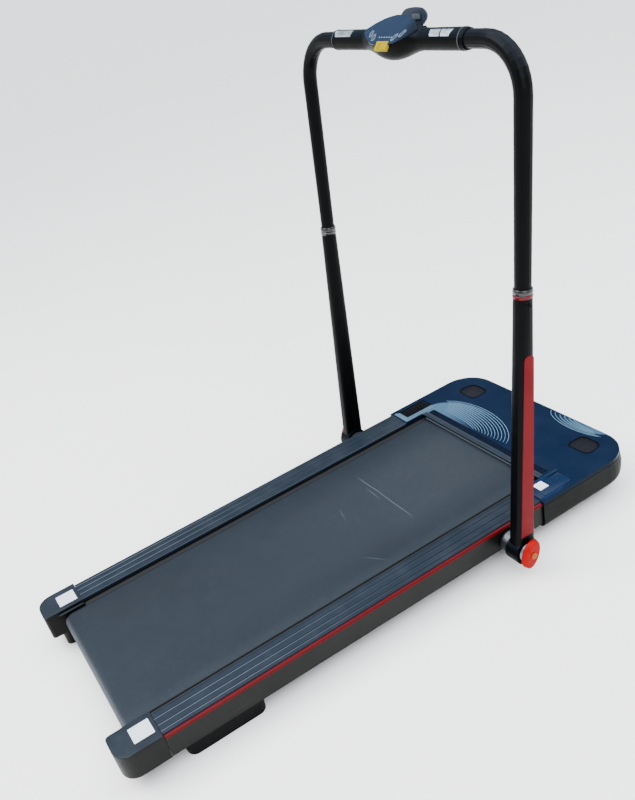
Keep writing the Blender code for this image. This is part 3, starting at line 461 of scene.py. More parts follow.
def cap_with_painted_light():
    """End cap: slate where it faces up, a painted highlight on a paler rim, and painted shade in warmer black
    down its sides.
    """
    it = Finish("cap_plastic_satin", (0.0088, 0.0130, 0.0195), 0.42, specular=0.10)
    it.mottle(0.10, 16.0)
    # Painted highlight: a paler band on the rim round the top.
    starts, ends = it.remap(it.facing("Z"), 0.35, 0.55), it.remap(it.facing("Z"), 0.95, 0.80)
    rim = it.times(starts, ends)
    it.tint(it.times(rim, 0.55), (0.085, 0.105, 0.125))
    # Painted shade: the sides go a warmer black.
    it.tint(it.remap(it.facing("Z"), 0.40, 0.25, 0.0, 1.0), (0.0016, 0.0016, 0.0012))
    it.scuffs(0.08, 120.0, (1, 0.5, 1))
    it.uneven(0.06, 40.0)
    return it.dust(0.12, (0.05, 0.065, 0.085), 30.0).grain(1000.0, 0.0001, 0.5).done()


FINISHES = {
    "frame_steel": moulded("frame_steel_paint", (0.0060, 0.0060, 0.0066), 0.42),
    "bright_steel": steel("bright_steel_turned", (0.58, 0.58, 0.60), 0.28),
    "deck_wood": deck_wood(),
    "cushion_rubber": rubber("cushion_rubber_matt", (0.0060, 0.0060, 0.0063)),
    "belt_rubber": belt_rubber(),
    "rail_plastic": rail_plastic(),
    "trim_red": gloss("trim_red_gloss", (0.064, 0.0002, 0.0018), 0.36, 0.02, 0.08),
    "cap_plastic": cap_with_painted_light(),
    "foot_rubber": rubber("foot_rubber_matt", (0.0006, 0.0007, 0.0008)),
    "hood_plastic": moulded("hood_plastic_grained", (0.0018, 0.0018, 0.0013), 0.45, specular=0.06),
    "hood_gloss": hood_gloss(),
    "display_dark": gloss("display_dark_smoke", (0.0011, 0.0032, 0.0105), 0.22, 0.03, 0.08),
    "speaker_mesh": speaker_mesh(),
    "motor_metal": motor_metal(),
    "board_metal": finned_metal(),
    "drive_rubber": drive_rubber(),
    "tube_black": powder_coat(),
    "grip_plastic": sky_reflecting_plastic("grip_plastic_satin", (0.0009, 0.0009, 0.0007), (0.0030, 0.0056, 0.0090)),
    "console_gloss": console_face(),
    "key_grey": moulded("key_grey_satin", (0.045, 0.065, 0.100), 0.4),
    "safety_yellow": gloss("safety_yellow_gloss", (0.27, 0.20, 0.0), 0.5, 0.0, 0.03),
    "knob_red": knob_red(),
    "flap_smoke": gloss("flap_smoke_gloss", (0.0200, 0.0280, 0.0440), 0.28, 0.05),
    "label": label_paper(),
    "print_blue": gloss("print_blue_ink", (0.100, 0.190, 0.275), 0.34, 0.02),
    "frame_blue": gloss("frame_blue_satin", (0.055, 0.105, 0.150), 0.34, 0.02),
    "slot_black": moulded("slot_black_plastic", (0.0008, 0.0013, 0.0022), 0.40, dust=0.04, specular=0.05),
    "lip_slate": moulded("lip_slate_satin", (0.0085, 0.0140, 0.0220), 0.36),
    "edge_pale": gloss("edge_pale_satin", (0.050, 0.062, 0.076), 0.40, 0.0),
    "plate_silver": steel("plate_silver_brushed", (0.70, 0.82, 0.92), 0.30, (8, 1, 1)),
    "inlay_red": gloss("inlay_red_satin", (0.108, 0.0075, 0.0100), 0.5, 0.0, 0.03),
    "ring_red": gloss("ring_red_gloss", (0.080, 0.0008, 0.0040), 0.28, 0.08),
    "cap_orange": gloss("cap_orange_plastic", (0.26, 0.055, 0.006), 0.5, 0.0),
    "ink_pale": gloss("ink_pale_print", (0.15, 0.21, 0.28), 0.4, 0.0),
    "corner_navy": gloss("corner_navy_gloss", (0.0014, 0.0090, 0.0310), 0.25, 0.04),
    "stud_grey": steel("stud_grey_satin", (0.085, 0.090, 0.105), 0.42),
    "washer_steel": steel("washer_steel_satin", (0.13, 0.15, 0.18), 0.40),
    "collar_black": gloss("collar_black_gloss", (0.0009, 0.0013, 0.0020), 0.20, 0.30, 0.40),
    "bolt_black": steel("bolt_black_oxide", (0.05, 0.05, 0.055), 0.4),
    "brass": steel("brass_turned", (0.72, 0.50, 0.22), 0.3),
}

for subpart in frame["record"]["subparts"]:
    node = frame["nodes"][subpart["node"]]
    finish = "stud_grey" if subpart["node"].startswith("hub_stud") else subpart["material_slot"]
    for slot in node.material_slots:
        slot.material = FINISHES[finish]


# ---------------------------------------------------------------- making pieces
def piece(name, bm, finish, body, place=HERE, smooth=35):
    """Makes a named piece from a mesh under construction and hangs it on a body of the frame."""
    mesh = bpy.data.meshes.new(name)
    bmesh.ops.recalc_face_normals(bm, faces=bm.faces)
    bm.to_mesh(mesh)
    bm.free()
    mesh.materials.append(FINISHES[finish])
    mesh.shade_smooth()
    mesh.set_sharp_from_angle(angle=math.radians(smooth))
    made = bpy.data.objects.new(name, mesh)
    bpy.context.scene.collection.objects.link(made)
    made.matrix_world = place
    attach(made, body)


def arc(centre, radius, start, end, steps):
    """Points on a circle, by angle in degrees."""
    for i in range(steps + 1):
        angle = math.radians(start + (end - start) * i / steps)
        yield (centre[0] + radius * math.cos(angle), centre[1] + radius * math.sin(angle))


def circle(centre, radius, steps=32):
    return list(arc(centre, radius, 0, 360, steps))[:-1]


def rounded(corners, steps=5):
    """A closed outline from (x, y, radius) corners."""
    outline = []
    for i, (x, y, radius) in enumerate(corners):
        here = Vector((x, y))
        before = (Vector(corners[i - 1][:2]) - here).normalized()
        after = (Vector(corners[(i + 1) % len(corners)][:2]) - here).normalized()
        half = before.angle(after) / 2
        centre = here + (before + after).normalized() * radius / math.sin(half)
        first = here + before * radius / math.tan(half) - centre
        sweep = first.angle_signed(here + after * radius / math.tan(half) - centre)
        for k in range(steps + 1):
            angle = -sweep * k / steps
            cos, sin = math.cos(angle), math.sin(angle)
            across, along = first.x * cos - first.y * sin, first.x * sin + first.y * cos
            outline.append((centre.x + across, centre.y + along))
    return outline


def rectangle(x0, y0, x1, y1, radius, steps=4):
    """A rectangle's outline with rounded corners."""
    return rounded([(x0, y0, radius), (x1, y0, radius), (x1, y1, radius), (x0, y1, radius)], steps)


def mirrored(outline, side):
    """An outline drawn for the right side, turned over for the left where side is -1."""
    return outline if side > 0 else [(-x, y) for x, y in reversed(outline)]


def round_rims(bm, level, by, segments):
    """Rounds the edges where the flat top at this level meets a wall."""

    def is_level(part):
        return all(abs(v.co.z - level) < 1e-7 for v in part.verts)

    rims = [e for e in bm.edges if is_level(e) and not all(is_level(f) for f in e.link_faces)]
    shape = {"offset": by, "segments": segments, "profile": 0.6}
    bmesh.ops.bevel(bm, geom=rims, affect="EDGES", clamp_overlap=True, **shape)


def prism(outlines, low, high, edge=0.0, segments=2):
    """One or more flat outlines given a thickness along Z, with their upper rims rounded."""
    bm = bmesh.new()
    for outline in outlines:
        bottom = [bm.verts.new((x, y, low)) for x, y in outline]
        top = [bm.verts.new((x, y, high)) for x, y in outline]
        bm.faces.new(top)
        bm.faces.new(bottom[::-1])
        for i in range(len(outline)):
            j = (i + 1) % len(outline)
            bm.faces.new((bottom[i], bottom[j], top[j], top[i]))
    if edge:
        round_rims(bm, high, edge, segments)
    return bm


def ring(outer, inner, low, high, edge=0.0):
    """A flat band between two outlines of as many points each, with its upper rims rounded."""
    bm = bmesh.new()
    loops = []
    for outline in (outer, inner):
        loops.append([[bm.verts.new((x, y, z)) for x, y in outline] for z in (low, high)])
    count = len(outer)
    for i in range(count):
        j = (i + 1) % count
        (ob, ot), (ib, it) = loops
        for quad in (
            (ob[i], ob[j], ot[j], ot[i]),
            (ib[j], ib[i], it[i], it[j]),
            (ot[i], ot[j], it[j], it[i]),
            (ob[j], ob[i], ib[i], ib[j]),
        ):
            bm.faces.new(quad)
    if edge:
        round_rims(bm, high, edge, 2)
    return bm


def lathe(profile, axis="X", segments=40):
    """Turns (radius, distance along the axis) points round X or Z; a radius of 0 closes an end."""
    bm = bmesh.new()
    rings = []
    for radius, along in profile:
        count = 1 if radius == 0 else segments
        loop = []
        for i in range(count):
            angle = 2 * math.pi * i / segments
            a, b = radius * math.cos(angle), radius * math.sin(angle)
            loop.append(bm.verts.new((along, a, b) if axis == "X" else (a, b, along)))
        rings.append(loop)
    closed = profile[0][0] > 0 and profile[-1][0] > 0
    pairs = list(zip(rings, rings[1:])) + ([(rings[-1], rings[0])] if closed else [])
    for a, b in pairs:
        for i in range(segments):
            j = (i + 1) % segments
            corners = [a[i % len(a)], a[j % len(a)], b[j % len(b)], b[i % len(b)]]
            bm.faces.new(list(dict.fromkeys(corners)))
    return bm


def sided(profile, side):
    """A lathe profile along X, turned over where side is -1."""
    return [(radius, side * along) for radius, along in profile]


def bar(profile, x0, x1):
    """A (y, z) profile pushed along X."""
    bm = bmesh.new()
    ends = [[bm.verts.new((x, y, z)) for y, z in profile] for x in (x0, x1)]
    bm.faces.new(ends[0])
    bm.faces.new(ends[1][::-1])
    for i in range(len(profile)):
        j = (i + 1) % len(profile)
        bm.faces.new((ends[0][i], ends[1][i], ends[1][j], ends[0][j]))
    return bm


def ribbon(points, width):
    """The outline of a thin printed line along flat points, which tapers towards its ends."""
    left, right = [], []
    for i, (x, y) in enumerate(points):
        before, after = Vector(points[max(0, i - 1)]), Vector(points[min(len(points) - 1, i + 1)])
        along = (after - before).normalized()
        taper = 0.35 + 0.65 * math.sin(math.pi * min(1, max(0, (i + 0.5) / len(points)))) ** 0.5
        off = Vector((-along.y, along.x)) * width / 2 * taper
        left.append((x + off.x, y + off.y))
        right.append((x - off.x, y - off.y))
    return left + right[::-1]


# ---------------------------------------------------------------- base: caps, labels, rails
def cap_outline(inset):
    """The right end cap seen from above, drawn in by this much."""
    rear, outer = -0.6320 + inset, 0.265 - inset
    return rounded(
        [
            (0.1950 + inset, -0.5412 - inset, 0.0006),
            (0.1950 + inset, rear, 0.008 - inset),
            (outer, rear, 0.032 - inset),
            (outer, -0.5412 - inset, 0.0006),
        ],
        8,
    )


def make_caps():
    """The rear end caps' lids, their blank labels and the edges of their lips beside the belt."""
    for word, side in SIDES:
        lid = prism([mirrored(cap_outline(0.0004), side)], TOP_Z, TOP_Z + 0.0014, 0.0007, 3)
        piece(f"cap_lid_{word}", lid, "cap_plastic", "base")
        label = mirrored(rectangle(0.2080, -0.5900, 0.2460, -0.5490, 0.0012), side)
        piece(f"cap_label_{word}", prism([label], TOP_Z + 0.0016, TOP_Z + 0.0019, 0.0001), "label", "base")
        lip = mirrored(rectangle(0.1885, -0.5995, 0.1942, -0.5420, 0.0010), side)
        piece(f"cap_lip_edge_{word}", prism([lip], 0.0948, 0.0956, 0.0004), "cap_plastic", "base")


def make_rails():
    """A slim pale bead along each rail's inner edge, where its top rolls over towards the belt."""
    for word, side in SIDES:
        bead = mirrored(rectangle(0.2022, -0.5395, 0.2044, 0.3590, 0.0008), side)
        piece(f"rail_bead_{word}", prism([bead], TOP_Z, TOP_Z + 0.0006, 0.0003), "rail_plastic", "base")


# ---------------------------------------------------------------- base: the hood
def fan_lines():
    """Nested arches that share their left foot and spread to the right along the display."""
    lines = []
    count = 12
    for i in range(count):
        share = i / (count - 1)
        right = -0.050 + 0.104 * share
        left = -0.2120 - 0.006 * share
        height = 0.013 + 0.064 * share
        centre, half = (left + right) / 2, (right - left) / 2
        start, end = 4 + 2 * share, 112 + 34 * share
        points = []
        for step in range(37):
            angle = math.radians(start + (end - start) * step / 36)
            lean = 0.012 * math.sin(angle)
            points.append((centre + half * math.cos(angle) - lean, 0.4495 + height * math.sin(angle)))
        lines.append(ribbon(points, 0.0012))
    return lines


def front_lines():
    """Arcs that hang from the front edge and share their right foot, like the fan's reflection."""
    lines = []
    for i in range(6):
        left, right, depth = 0.030 + 0.0135 * i, 0.200, 0.0325 - 0.0045 * i
        centre, half = (left + right) / 2, (right - left) / 2
        points = []
        for step in range(25):
            angle = math.radians(186 + (146 - 9 * i) * step / 24)
            points.append((centre + half * math.cos(angle), 0.6285 + depth * math.sin(angle)))
        lines.append(ribbon(points, 0.0013))
    return lines


def speaker_outline(side, grow):
    """A speaker's slanted outline on the hood, larger all round by this much."""
    corners = [
        (-0.0285 - grow, -0.0205 - grow, 0.014),
        (0.0300 + grow, -0.0235 - grow, 0.014),
        (0.0270 + grow, 0.0235 + grow, 0.014),
        (-0.0235 - grow, 0.0235 + grow, 0.018),
    ]
    outline = mirrored(rounded(corners, 5), -side)
    return [(x + side * SPEAKER_AT[0], y + SPEAKER_AT[1]) for x, y in outline]


def ell(x0, y0, x1, y1, thick_x, thick_y):
    """An L with its corner at x0, y0."""
    inner_x, inner_y = x0 + thick_x, y0 + thick_y
    return [(x0, y0), (x1, y0), (x1, inner_y), (inner_x, inner_y), (inner_x, y1), (x0, y1)]


def make_hood():
    """The hood's printed arcs, its rear lip, speaker rims, recessed rear corners and blank label."""
    flat = (TOP_Z, TOP_Z + 0.00012)
    piece("hood_fan_lines", prism(fan_lines(), *flat), "print_blue", "base")
    piece("hood_front_lines", prism(front_lines(), *flat), "print_blue", "base")
    lip = [(0.4150, 0.0997), (0.4172, 0.1003), (0.4280, 0.1003), (0.4280, 0.1008)]
    lip += [(0.4272, 0.1013), (0.4176, 0.1013), (0.4154, 0.1008), (0.4144, 0.1001)]
    piece("hood_lip", bar(lip, -0.1985, 0.1985), "lip_slate", "base", smooth=50)
    strip = [(0.4122, 0.0930), (0.4136, 0.0927), (0.4137, 0.0962), (0.4132, 0.0968), (0.4124, 0.0966)]
    piece("belt_brush_bar", bar(strip, -0.1860, 0.1860), "edge_pale", "base")
    # Painted highlight: a thin paler line along the display's edge.
    edge_highlight = rectangle(-0.1875, DISPLAY_EDGE_Y, 0.1875, DISPLAY_EDGE_Y + 0.0005, 0.0002)
    piece("display_edge_line", prism([edge_highlight], TOP_Z, TOP_Z + 0.00025), "lip_slate", "base")
    for word, side in SIDES:
        outer, inner = speaker_outline(side, 0.0030), speaker_outline(side, 0.0006)
        rim = ring(outer, inner, TOP_Z, TOP_Z + 0.0007, 0.0003)
        piece(f"speaker_rim_{word}", rim, "slot_black", "base")
        shown = "frame_blue" if side < 0 else "corner_navy"
        corner = ell(0.2035, 0.3645, 0.2555, 0.4600, 0.0060, 0.0070)
        corner = prism([mirrored(corner, side)], TOP_Z, TOP_Z + 0.0009, 0.0004)
        piece(f"corner_frame_{word}", corner, shown, "base")
        step = ell(0.2130, 0.3730, 0.2530, 0.4570, 0.0050, 0.0060)
        step = prism([mirrored(step, side)], STEP_Z, STEP_Z + 0.0010, 0.0003)
        piece(f"corner_step_{word}", step, shown, "base")
        floor = [mirrored(rectangle(0.2185, 0.3795, 0.2530, 0.4570, 0.002), side)]
        ribs = [
            mirrored(rectangle(0.2210, y, 0.2505, y + 0.0024, 0.0010, 3), side)
            for y in (0.386, 0.396, 0.406, 0.416, 0.426, 0.436, 0.446)
        ]
        if side < 0:
            insert = prism(floor, STEP_Z, STEP_Z + 0.0004, 0.0002)
            piece(f"corner_insert_{word}", insert, "slot_black", "base")
            ribs = prism(ribs, STEP_Z + 0.0006, STEP_Z + 0.0011, 0.0002)
            piece(f"corner_ribs_{word}", ribs, "slot_black", "base")
        else:
            piece(f"corner_insert_{word}", prism(floor, STEP_Z, TOP_Z, 0.0004), "corner_navy", "base")
    label = rectangle(0.2105, 0.3850, 0.2345, 0.4090, 0.0012)
    piece("hood_label", prism([label], TOP_Z + 0.0002, TOP_Z + 0.0006, 0.0001), "label", "base")


def make_front_fittings():
    """Blades and a bezel for the mains inlet, a frame and marks for the rocker, a collar for the breaker."""
    middle = -INLET_X
    outer = rectangle(middle - 0.0165, -0.0125, middle + 0.0165, 0.0125, 0.003)
    inner = rectangle(middle - 0.0115, -0.0075, middle + 0.0115, 0.0075, 0.001)
    bezel = ring(outer, inner, 0.0003, 0.0016, 0.0005)
    piece("inlet_bezel", bezel, "slot_black", "base", FRONT_WALL)
    blades = [
        rectangle(x - 0.0009, z - 0.0020, x + 0.0009, z + 0.0020, 0.0004, 3)
        for x, z in ((middle + 0.0070, -0.0015), (middle, 0.0020), (middle - 0.0070, -0.0015))
    ]
    piece("inlet_blades", prism(blades, -0.0168, -0.0035, 0.0003), "brass", "base", FRONT_WALL)

    outer = [(x - ROCKER_X, y) for x, y in rectangle(-0.0095, -0.0130, 0.0095, 0.0130, 0.002)]
    inner = [(x - ROCKER_X, y) for x, y in rectangle(-0.0073, -0.0108, 0.0073, 0.0108, 0.001)]
    surround = ring(outer, inner, -0.0005, 0.0007, 0.0004)
    piece("rocker_frame", surround, "slot_black", "base", FRONT_WALL)
    slant = math.atan2(0.0017, 0.0090)  # each half of the rocker falls away from its ridge by this much
    bar_mark = prism([rectangle(-0.0004, -0.0018, 0.0004, 0.0018, 0.0002, 2)], 0.0001, 0.0003)
    ring_mark = ring(circle((0, 0), 0.0019), circle((0, 0), 0.0012), 0.0001, 0.0003)
    for word, made, up in (("on", bar_mark, 1), ("off", ring_mark, -1)):
        face = Matrix.Translation((0, 0.00137, up * 0.0045)) @ Matrix.Rotation(up * slant, 4, "X")
        piece(f"rocker_mark_{word}", made, "ink_pale", "rocker", ROCKER @ face @ FRONTWARDS)
    middle = (-BREAKER_X, 0)
    collar = ring(circle(middle, 0.0078), circle(middle, 0.0054), -0.0005, 0.0012, 0.0005)
    piece("breaker_collar", collar, "slot_black", "base", FRONT_WALL)


def make_underside():
    """Dimpled pan screws, pressed ribs along the pan, and louvres under the motor."""
    profile = [(0, PAN_Z - 0.0014), (0.0012, PAN_Z - 0.0014), (0.0022, PAN_Z - 0.0020)]
    profile += [(0.0040, PAN_Z - 0.0016), (0.0046, PAN_Z - 0.0008), (0.0046, PAN_Z), (0, PAN_Z)]
    heads = bmesh.new()
    for y in (-0.50, -0.25, 0.0, 0.20, 0.33):
        for x in (-0.205, 0.205):
            one = lathe(profile, "Z", 20)
            bmesh.ops.translate(one, vec=(x, y, 0), verts=one.verts)
            mesh = bpy.data.meshes.new("screw_head")
            one.to_mesh(mesh)
            one.free()
            heads.from_mesh(mesh)
            bpy.data.meshes.remove(mesh)
    piece("pan_screws", heads, "bolt_black", "base")
    rib_xs = (-0.150, -0.075, 0.0, 0.075, 0.150)
    ribs = [rectangle(x - 0.006, -0.500, x + 0.006, 0.150, 0.005) for x in rib_xs]
    piece("pan_ribs", prism(ribs, -PAN_Z, -PAN_Z + 0.0020, 0.0012), "frame_steel", "base", DOWNWARDS)
    louvres = [
        rectangle(side * 0.090 - 0.055, y, side * 0.090 + 0.055, y + 0.006, 0.0028)
        for side in (-1, 1)
        for y in (0.200, 0.214, 0.228, 0.242, 0.256, 0.270, 0.284, 0.298, 0.312)
    ]
    piece("pan_louvres", prism(louvres, -PAN_Z, -PAN_Z + 0.0016, 0.0010), "slot_black", "base", DOWNWARDS)


def make_wheels():
    """A raised hub on each transport wheel's outer face."""
    for word, side in SIDES:
        rim = [(0.0046, 0.0108), (0.0060, 0.0118), (0.0110, 0.0118), (0.0125, 0.0108)]
        x, y, z = WHEEL_AT
        place = Matrix.Translation((side * x, y, z))
        hub = lathe(sided(rim, side), "X", 32)
        piece(f"wheel_hub_{word}", hub, "slot_black", f"wheel_{word}", place)


# ---------------------------------------------------------------- handrail
def inlay_outline():
    """The inlay's outline along the post: it narrows with the post and ends in a crown."""
    low, high = INLAY_T
    shoulder = high - INLAY_CROWN
    depth, loss = POST_DEPTH
    sections = 12
    edge = []
    for i in range(sections + 1):
        t = low + (shoulder - low) * i / sections
        edge.append((t, depth - loss * t / POST_TOP_T - INLAY_INSET))
    outline = [(-half, t) for t, half in edge]
    half = edge[-1][1]
    for angle in (0.5, 1.0, 1.57, 2.14, 2.64):
        outline.append((-half * math.cos(angle), shoulder + INLAY_CROWN * math.sin(angle)))
    return outline + [(half, t) for t, half in reversed(edge)]


def make_posts():
    """Each post's red inlay, and its collar's ring, cap and bolt; only the right ring is red in the photo."""
    for word, side in SIDES:
        start, growth = POST_FACE
        face = Matrix.Translation((side * (POST_X + start), 0, 0))
        face @= Matrix.Rotation(side * math.atan2(growth, POST_TOP_T), 4, "Y")
        turn = Matrix(((0, 0, side, 0), (1, 0, 0, 0), (0, 1, 0, 0), (0, 0, 0, 1)))
        inlay = prism([inlay_outline()], -0.0006, 0.0008, 0.0004)
        piece(f"post_inlay_{word}", inlay, "inlay_red", "handrail", RAIL @ face @ turn)

        low, high = COLLAR_T
        wall = COLLAR_RADIUS + 0.0002
        band = [(wall, low + 0.0055), (wall + 0.0005, low + 0.0062)]
        band += [(wall + 0.0006, low + 0.0110), (wall, low + 0.0118)]
        place = RAIL @ Matrix.Translation((side * POST_X, 0, 0))
        shown = "ring_red" if side > 0 else "collar_black"
        piece(f"collar_ring_{word}", lathe(band, "Z"), shown, "handrail", place)
        cap = [
            (wall, low + 0.0125),
            (wall + 0.0005, low + 0.0135),
            (wall + 0.0008, high - 0.0030),
            (wall, high - 0.0004),
            (wall - 0.0008, high + 0.0008),
            (TUBE_RADIUS + 0.0005, high + 0.0011),
            (TUBE_RADIUS + 0.0004, high + 0.0004),
            (wall, high + 0.0002),
        ]
        piece(f"collar_cap_{word}", lathe(cap, "Z"), "collar_black", "handrail", place)
        bolt = [(0, 0.0007), (0.0016, 0.0007), (0.0021, 0.0016), (0.0030, 0.0017)]
        bolt += [(0.0036, 0.0010), (0.0036, 0.0002), (0, 0.0002)]
        spot = place @ Matrix.Translation((side * BOLT_AT[0], 0, BOLT_AT[1]))
        bolt = lathe(sided(bolt, side), "X", 20)
        piece(f"collar_bolt_{word}", bolt, "slot_black", "handrail", spot)


def make_knobs():
    """Behind each lock knob a steel washer, and on its face a hexagonal cap."""
    for word, side in SIDES:
        place = Matrix.Translation(PIVOT)
        washer = [(0.0150, 0.3206), (0.0205, 0.3206), (0.0212, 0.3214), (0.0185, 0.3250), (0.0150, 0.3254)]
        washer = lathe(sided(washer, side), "X", 48)
        piece(f"knob_washer_{word}", washer, "washer_steel", f"knob_{word}", place)
        hexagon = circle((0, 0), 0.0080, 6)
        turn = Matrix(((0, 0, side, side * KNOB_FACE_X), (1, 0, 0, 0), (0, 1, 0, 0), (0, 0, 0, 1)))
        cap = prism([hexagon], 0.0, 0.0024, 0.0010, 2)
        piece(f"knob_centre_{word}", cap, "cap_orange", f"knob_{word}", place @ turn)


# ---------------------------------------------------------------- grips and console
def grip_plate(x0, x1, slant0, slant1, low=28, high=68, steps=10):
    """A thin contact plate bent over the grip, with slanted ends, from low to high degrees off the top."""
    bm = bmesh.new()
    rows = []
    for radius in (GRIP_RADIUS + 0.0002, GRIP_RADIUS + 0.0010):
        row = []
        for i in range(steps + 1):
            share = i / steps
            angle = math.radians(low + (high - low) * share)
            reach = radius - (0.0004 if i in (0, steps) and radius > GRIP_RADIUS + 0.0005 else 0)
            y, z = -reach * math.sin(angle), reach * math.cos(angle)
            a, b = x0 + slant0 * share, x1 + slant1 * share
            row.append([bm.verts.new((x, y, z)) for x in (a, a + 0.0006, b - 0.0006, b)])
        rows.append(row)
    lower, upper = rows
    for i in range(steps):
        for k in range(3):
            bm.faces.new((upper[i][k], upper[i][k + 1], upper[i + 1][k + 1], upper[i + 1][k]))
            bm.faces.new((lower[i][k], lower[i + 1][k], lower[i + 1][k + 1], lower[i][k + 1]))
        for k in (0, 3):
            bm.faces.new((lower[i][k], upper[i][k], upper[i + 1][k], lower[i + 1][k]))
    for i in (0, steps):
        for k in range(3):
            bm.faces.new((lower[i][k], lower[i][k + 1], upper[i][k + 1], upper[i][k]))
    return bm


def make_grips():
    """The hand-contact plates, and on each grip a thin band, pale as a painted highlight, and an end ring."""
    bar_frame = RAIL @ Matrix.Translation((0, 0, CROSSBAR_T))
    plates = {
        "contact_plate_left": (-0.1765, -0.1180, 0.0080, -0.0010, 22, 64),
        "contact_plate_right_inner": (0.1060, 0.1322, 0.0050, 0.0020),
        "contact_plate_right_outer": (0.1350, 0.1630, 0.0030, -0.0040),
    }
    for name, shape in plates.items():
        piece(name, grip_plate(*shape), "plate_silver", "handrail", bar_frame)
    for word, side in SIDES:
        # The band's pale finish is a painted highlight on the seam near the grip's end.
        low, high = GRIP_RADIUS + 0.0002, GRIP_RADIUS + 0.0006
        band = [(low, 0.1790), (high, 0.1793), (high, 0.1800), (low, 0.1803)]
        band = lathe(sided(band, side), "X", 48)
        piece(f"grip_band_{word}", band, "edge_pale", "handrail", bar_frame)
        low = TUBE_RADIUS + 0.0004
        end = [(low, 0.1882), (0.0160, 0.1882), (0.0164, 0.1888), (0.0158, 0.1900), (low, 0.1900)]
        end = lathe(sided(end, side), "X", 48)
        piece(f"grip_end_ring_{word}", end, "slot_black", "handrail", bar_frame)


def pill(width, length, tilt, at, steps=6):
    """A slot-shaped outline about a point, tilted by degrees."""
    straight = (length - width) / 2
    outline = list(arc((0, straight), width / 2, 0, 180, steps))
    outline += arc((0, -straight), width / 2, 180, 360, steps)
    cos, sin = math.cos(math.radians(tilt)), math.sin(math.radians(tilt))
    return [(x * cos - y * sin + at[0], x * sin + y * cos + at[1]) for x, y in outline]


def make_console():
    """The indicator marks, the keys' rings and marks, and the safety key's ribs."""
    low = PANEL_Z + 0.0002
    dots = []
    for i in range(6):
        x = -0.013 + 0.0070 * i
        dots.append(rectangle(x - 0.0017, -0.0172, x + 0.0017, -0.0150, 0.0007, 3))
    piece("panel_marks", prism(dots, low, low + 0.00015), "ink_pale", "handrail", CONSOLE)
    for name, (x, y, tilt) in KEYS.items():
        halo = ring(pill(0.0082, 0.0162, tilt, (x, y)), pill(0.0070, 0.0150, tilt, (x, y)), low, low + 0.0003)
        piece(f"{name}_key_ring", halo, "ink_pale", "handrail", CONSOLE)
        mark = [pill(0.0012, 0.0070, tilt, (x, y))]
        if name in ("start", "faster"):
            mark.append(pill(0.0012, 0.0046, tilt + 90, (x, y)))
        top = PANEL_Z + 0.0004
        for k, shape in enumerate(mark):
            made = prism([shape], top, top + 0.0002)
            piece(f"{name}_key_mark_{k + 1}", made, "console_gloss", f"key_{name}", CONSOLE)
    face = 0.0030
    ribs = [rectangle(x - 0.0006, -0.0050, x + 0.0006, 0.0050, 0.0005, 3) for x in (-0.009, -0.006, -0.003)]
    ribs = prism(ribs, face, face + 0.0007, 0.0003)
    piece("safety_key_ribs", ribs, "safety_yellow", "stop_key", SAFETY_KEY)
    line = prism([rectangle(-0.0135, -0.0068, 0.0155, -0.0060, 0.0004, 3)], face, face + 0.0004, 0.0002)
    piece("safety_key_edge", line, "safety_yellow", "stop_key", SAFETY_KEY)


def make_holder():
    """A soft pad on the phone holder's front, with a paler panel in its middle."""
    flat = HOLDER @ Matrix(((1, 0, 0, 0), (0, 0, -1, -0.0014), (0, 1, 0, 0), (0, 0, 0, 1)))
    outer = [(-0.0045, 0.0125), (0.0235, 0.0125), (0.0225, 0.0255), (-0.0035, 0.0255)]
    pad = rounded([(x, z, 0.002) for x, z in outer])
    piece("holder_pad", prism([pad], 0.0003, 0.0009, 0.0003), "lip_slate", "holder", flat)
    inner = [(-0.0022, 0.0147), (0.0212, 0.0147), (0.0202, 0.0233), (-0.0012, 0.0233)]
    face = rounded([(x, z, 0.001) for x, z in inner])
    piece("holder_pad_face", prism([face], 0.0011, 0.0014, 0.0001), "edge_pale", "holder", flat)


# ---------------------------------------------------------------- camera, floor and light
def make_camera():
    """The camera that the photo's own perspective gives."""
    data = bpy.data.cameras.new("camera")
    data.lens = 37.08
    data.sensor_width = 36
    data.shift_x, data.shift_y = 0.0581, 0.0725
    data.clip_start, data.clip_end = 0.02, 400
    made = bpy.data.objects.new("camera", data)
    yaw, pitch, roll = (math.radians(a) for a in (68.6027, 33.0275, -15.6496))
    turn = Matrix.Rotation(yaw, 4, "Z") @ Matrix.Rotation(math.pi / 2 - pitch, 4, "X")
    turn @= Matrix.Rotation(roll, 4, "Z")
    made.matrix_world = Matrix.Translation((1.3004, -0.6082, 1.2469)) @ turn
    bpy.context.scene.collection.objects.link(made)
    bpy.context.scene.camera = made


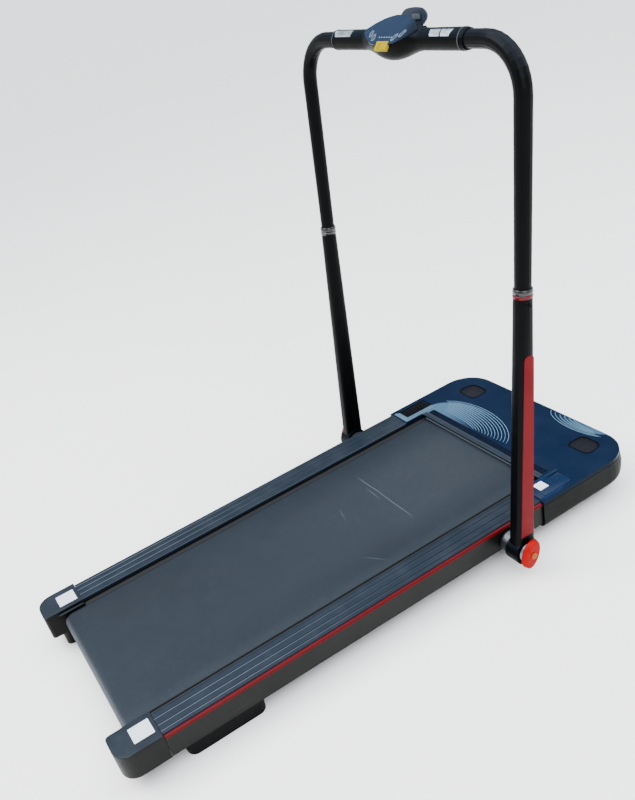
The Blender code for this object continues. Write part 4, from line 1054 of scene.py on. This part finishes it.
def make_studio():
    """A pale floor, three soft lamps and a sky that is bright overhead and dark at the sides."""
    bm = bmesh.new()
    bmesh.ops.create_grid(bm, x_segments=2, y_segments=2, size=120)
    mesh = bpy.data.meshes.new("floor")
    bm.to_mesh(mesh)
    bm.free()
    it = Finish("floor_pale", (0.86, 0.86, 0.86), 0.8)
    it.mottle(0.01, 2.0)
    mesh.materials.append(it.done())
    floor = bpy.data.objects.new("floor", mesh)
    floor.location = (0, 0, -0.0005)
    bpy.context.scene.collection.objects.link(floor)
    for name, place, size, power, colour in (
        ("key", (-0.9, -2.0, 3.0), 2.2, 170, (1.0, 0.98, 0.95)),
        ("fill", (2.6, -0.4, 2.4), 2.2, 85, (0.95, 0.97, 1.0)),
        ("back", (1.4, 2.8, 2.8), 2.2, 100, (0.92, 0.96, 1.0)),
    ):
        data = bpy.data.lights.new(name, "AREA")
        data.shape = "SQUARE"
        data.size = size
        data.energy = power
        data.color = colour
        lamp = bpy.data.objects.new(name, data)
        lamp.location = place
        lamp.rotation_euler = (Vector((0, 0, 0.3)) - Vector(place)).to_track_quat("-Z", "Y").to_euler()
        bpy.context.scene.collection.objects.link(lamp)
    world = bpy.data.worlds.new("studio")
    world.use_nodes = True
    nodes, links = world.node_tree.nodes, world.node_tree.links
    direction = nodes.new("ShaderNodeTexCoord")
    split = nodes.new("ShaderNodeSeparateXYZ")
    ramp = nodes.new("ShaderNodeValToRGB")
    stops = ((0.0, 0.30), (0.22, 0.30), (0.36, 0.06), (0.66, 0.06), (0.86, 1.0))
    while len(ramp.color_ramp.elements) < len(stops):
        ramp.color_ramp.elements.new(0.5)
    for element, (height, grey) in zip(ramp.color_ramp.elements, stops):
        element.position = height
        element.color = (grey * 0.93, grey * 0.97, grey, 1)
    links.new(direction.outputs["Generated"], split.inputs[0])
    links.new(split.outputs[2], ramp.inputs[0])
    links.new(ramp.outputs[0], nodes["Background"].inputs["Color"])
    nodes["Background"].inputs["Strength"].default_value = 5.2
    bpy.context.scene.world = world


make_camera()
make_studio()
make_caps()
make_rails()
make_hood()
make_front_fittings()
make_underside()
make_wheels()
make_posts()
make_knobs()
make_grips()
make_console()
make_holder()
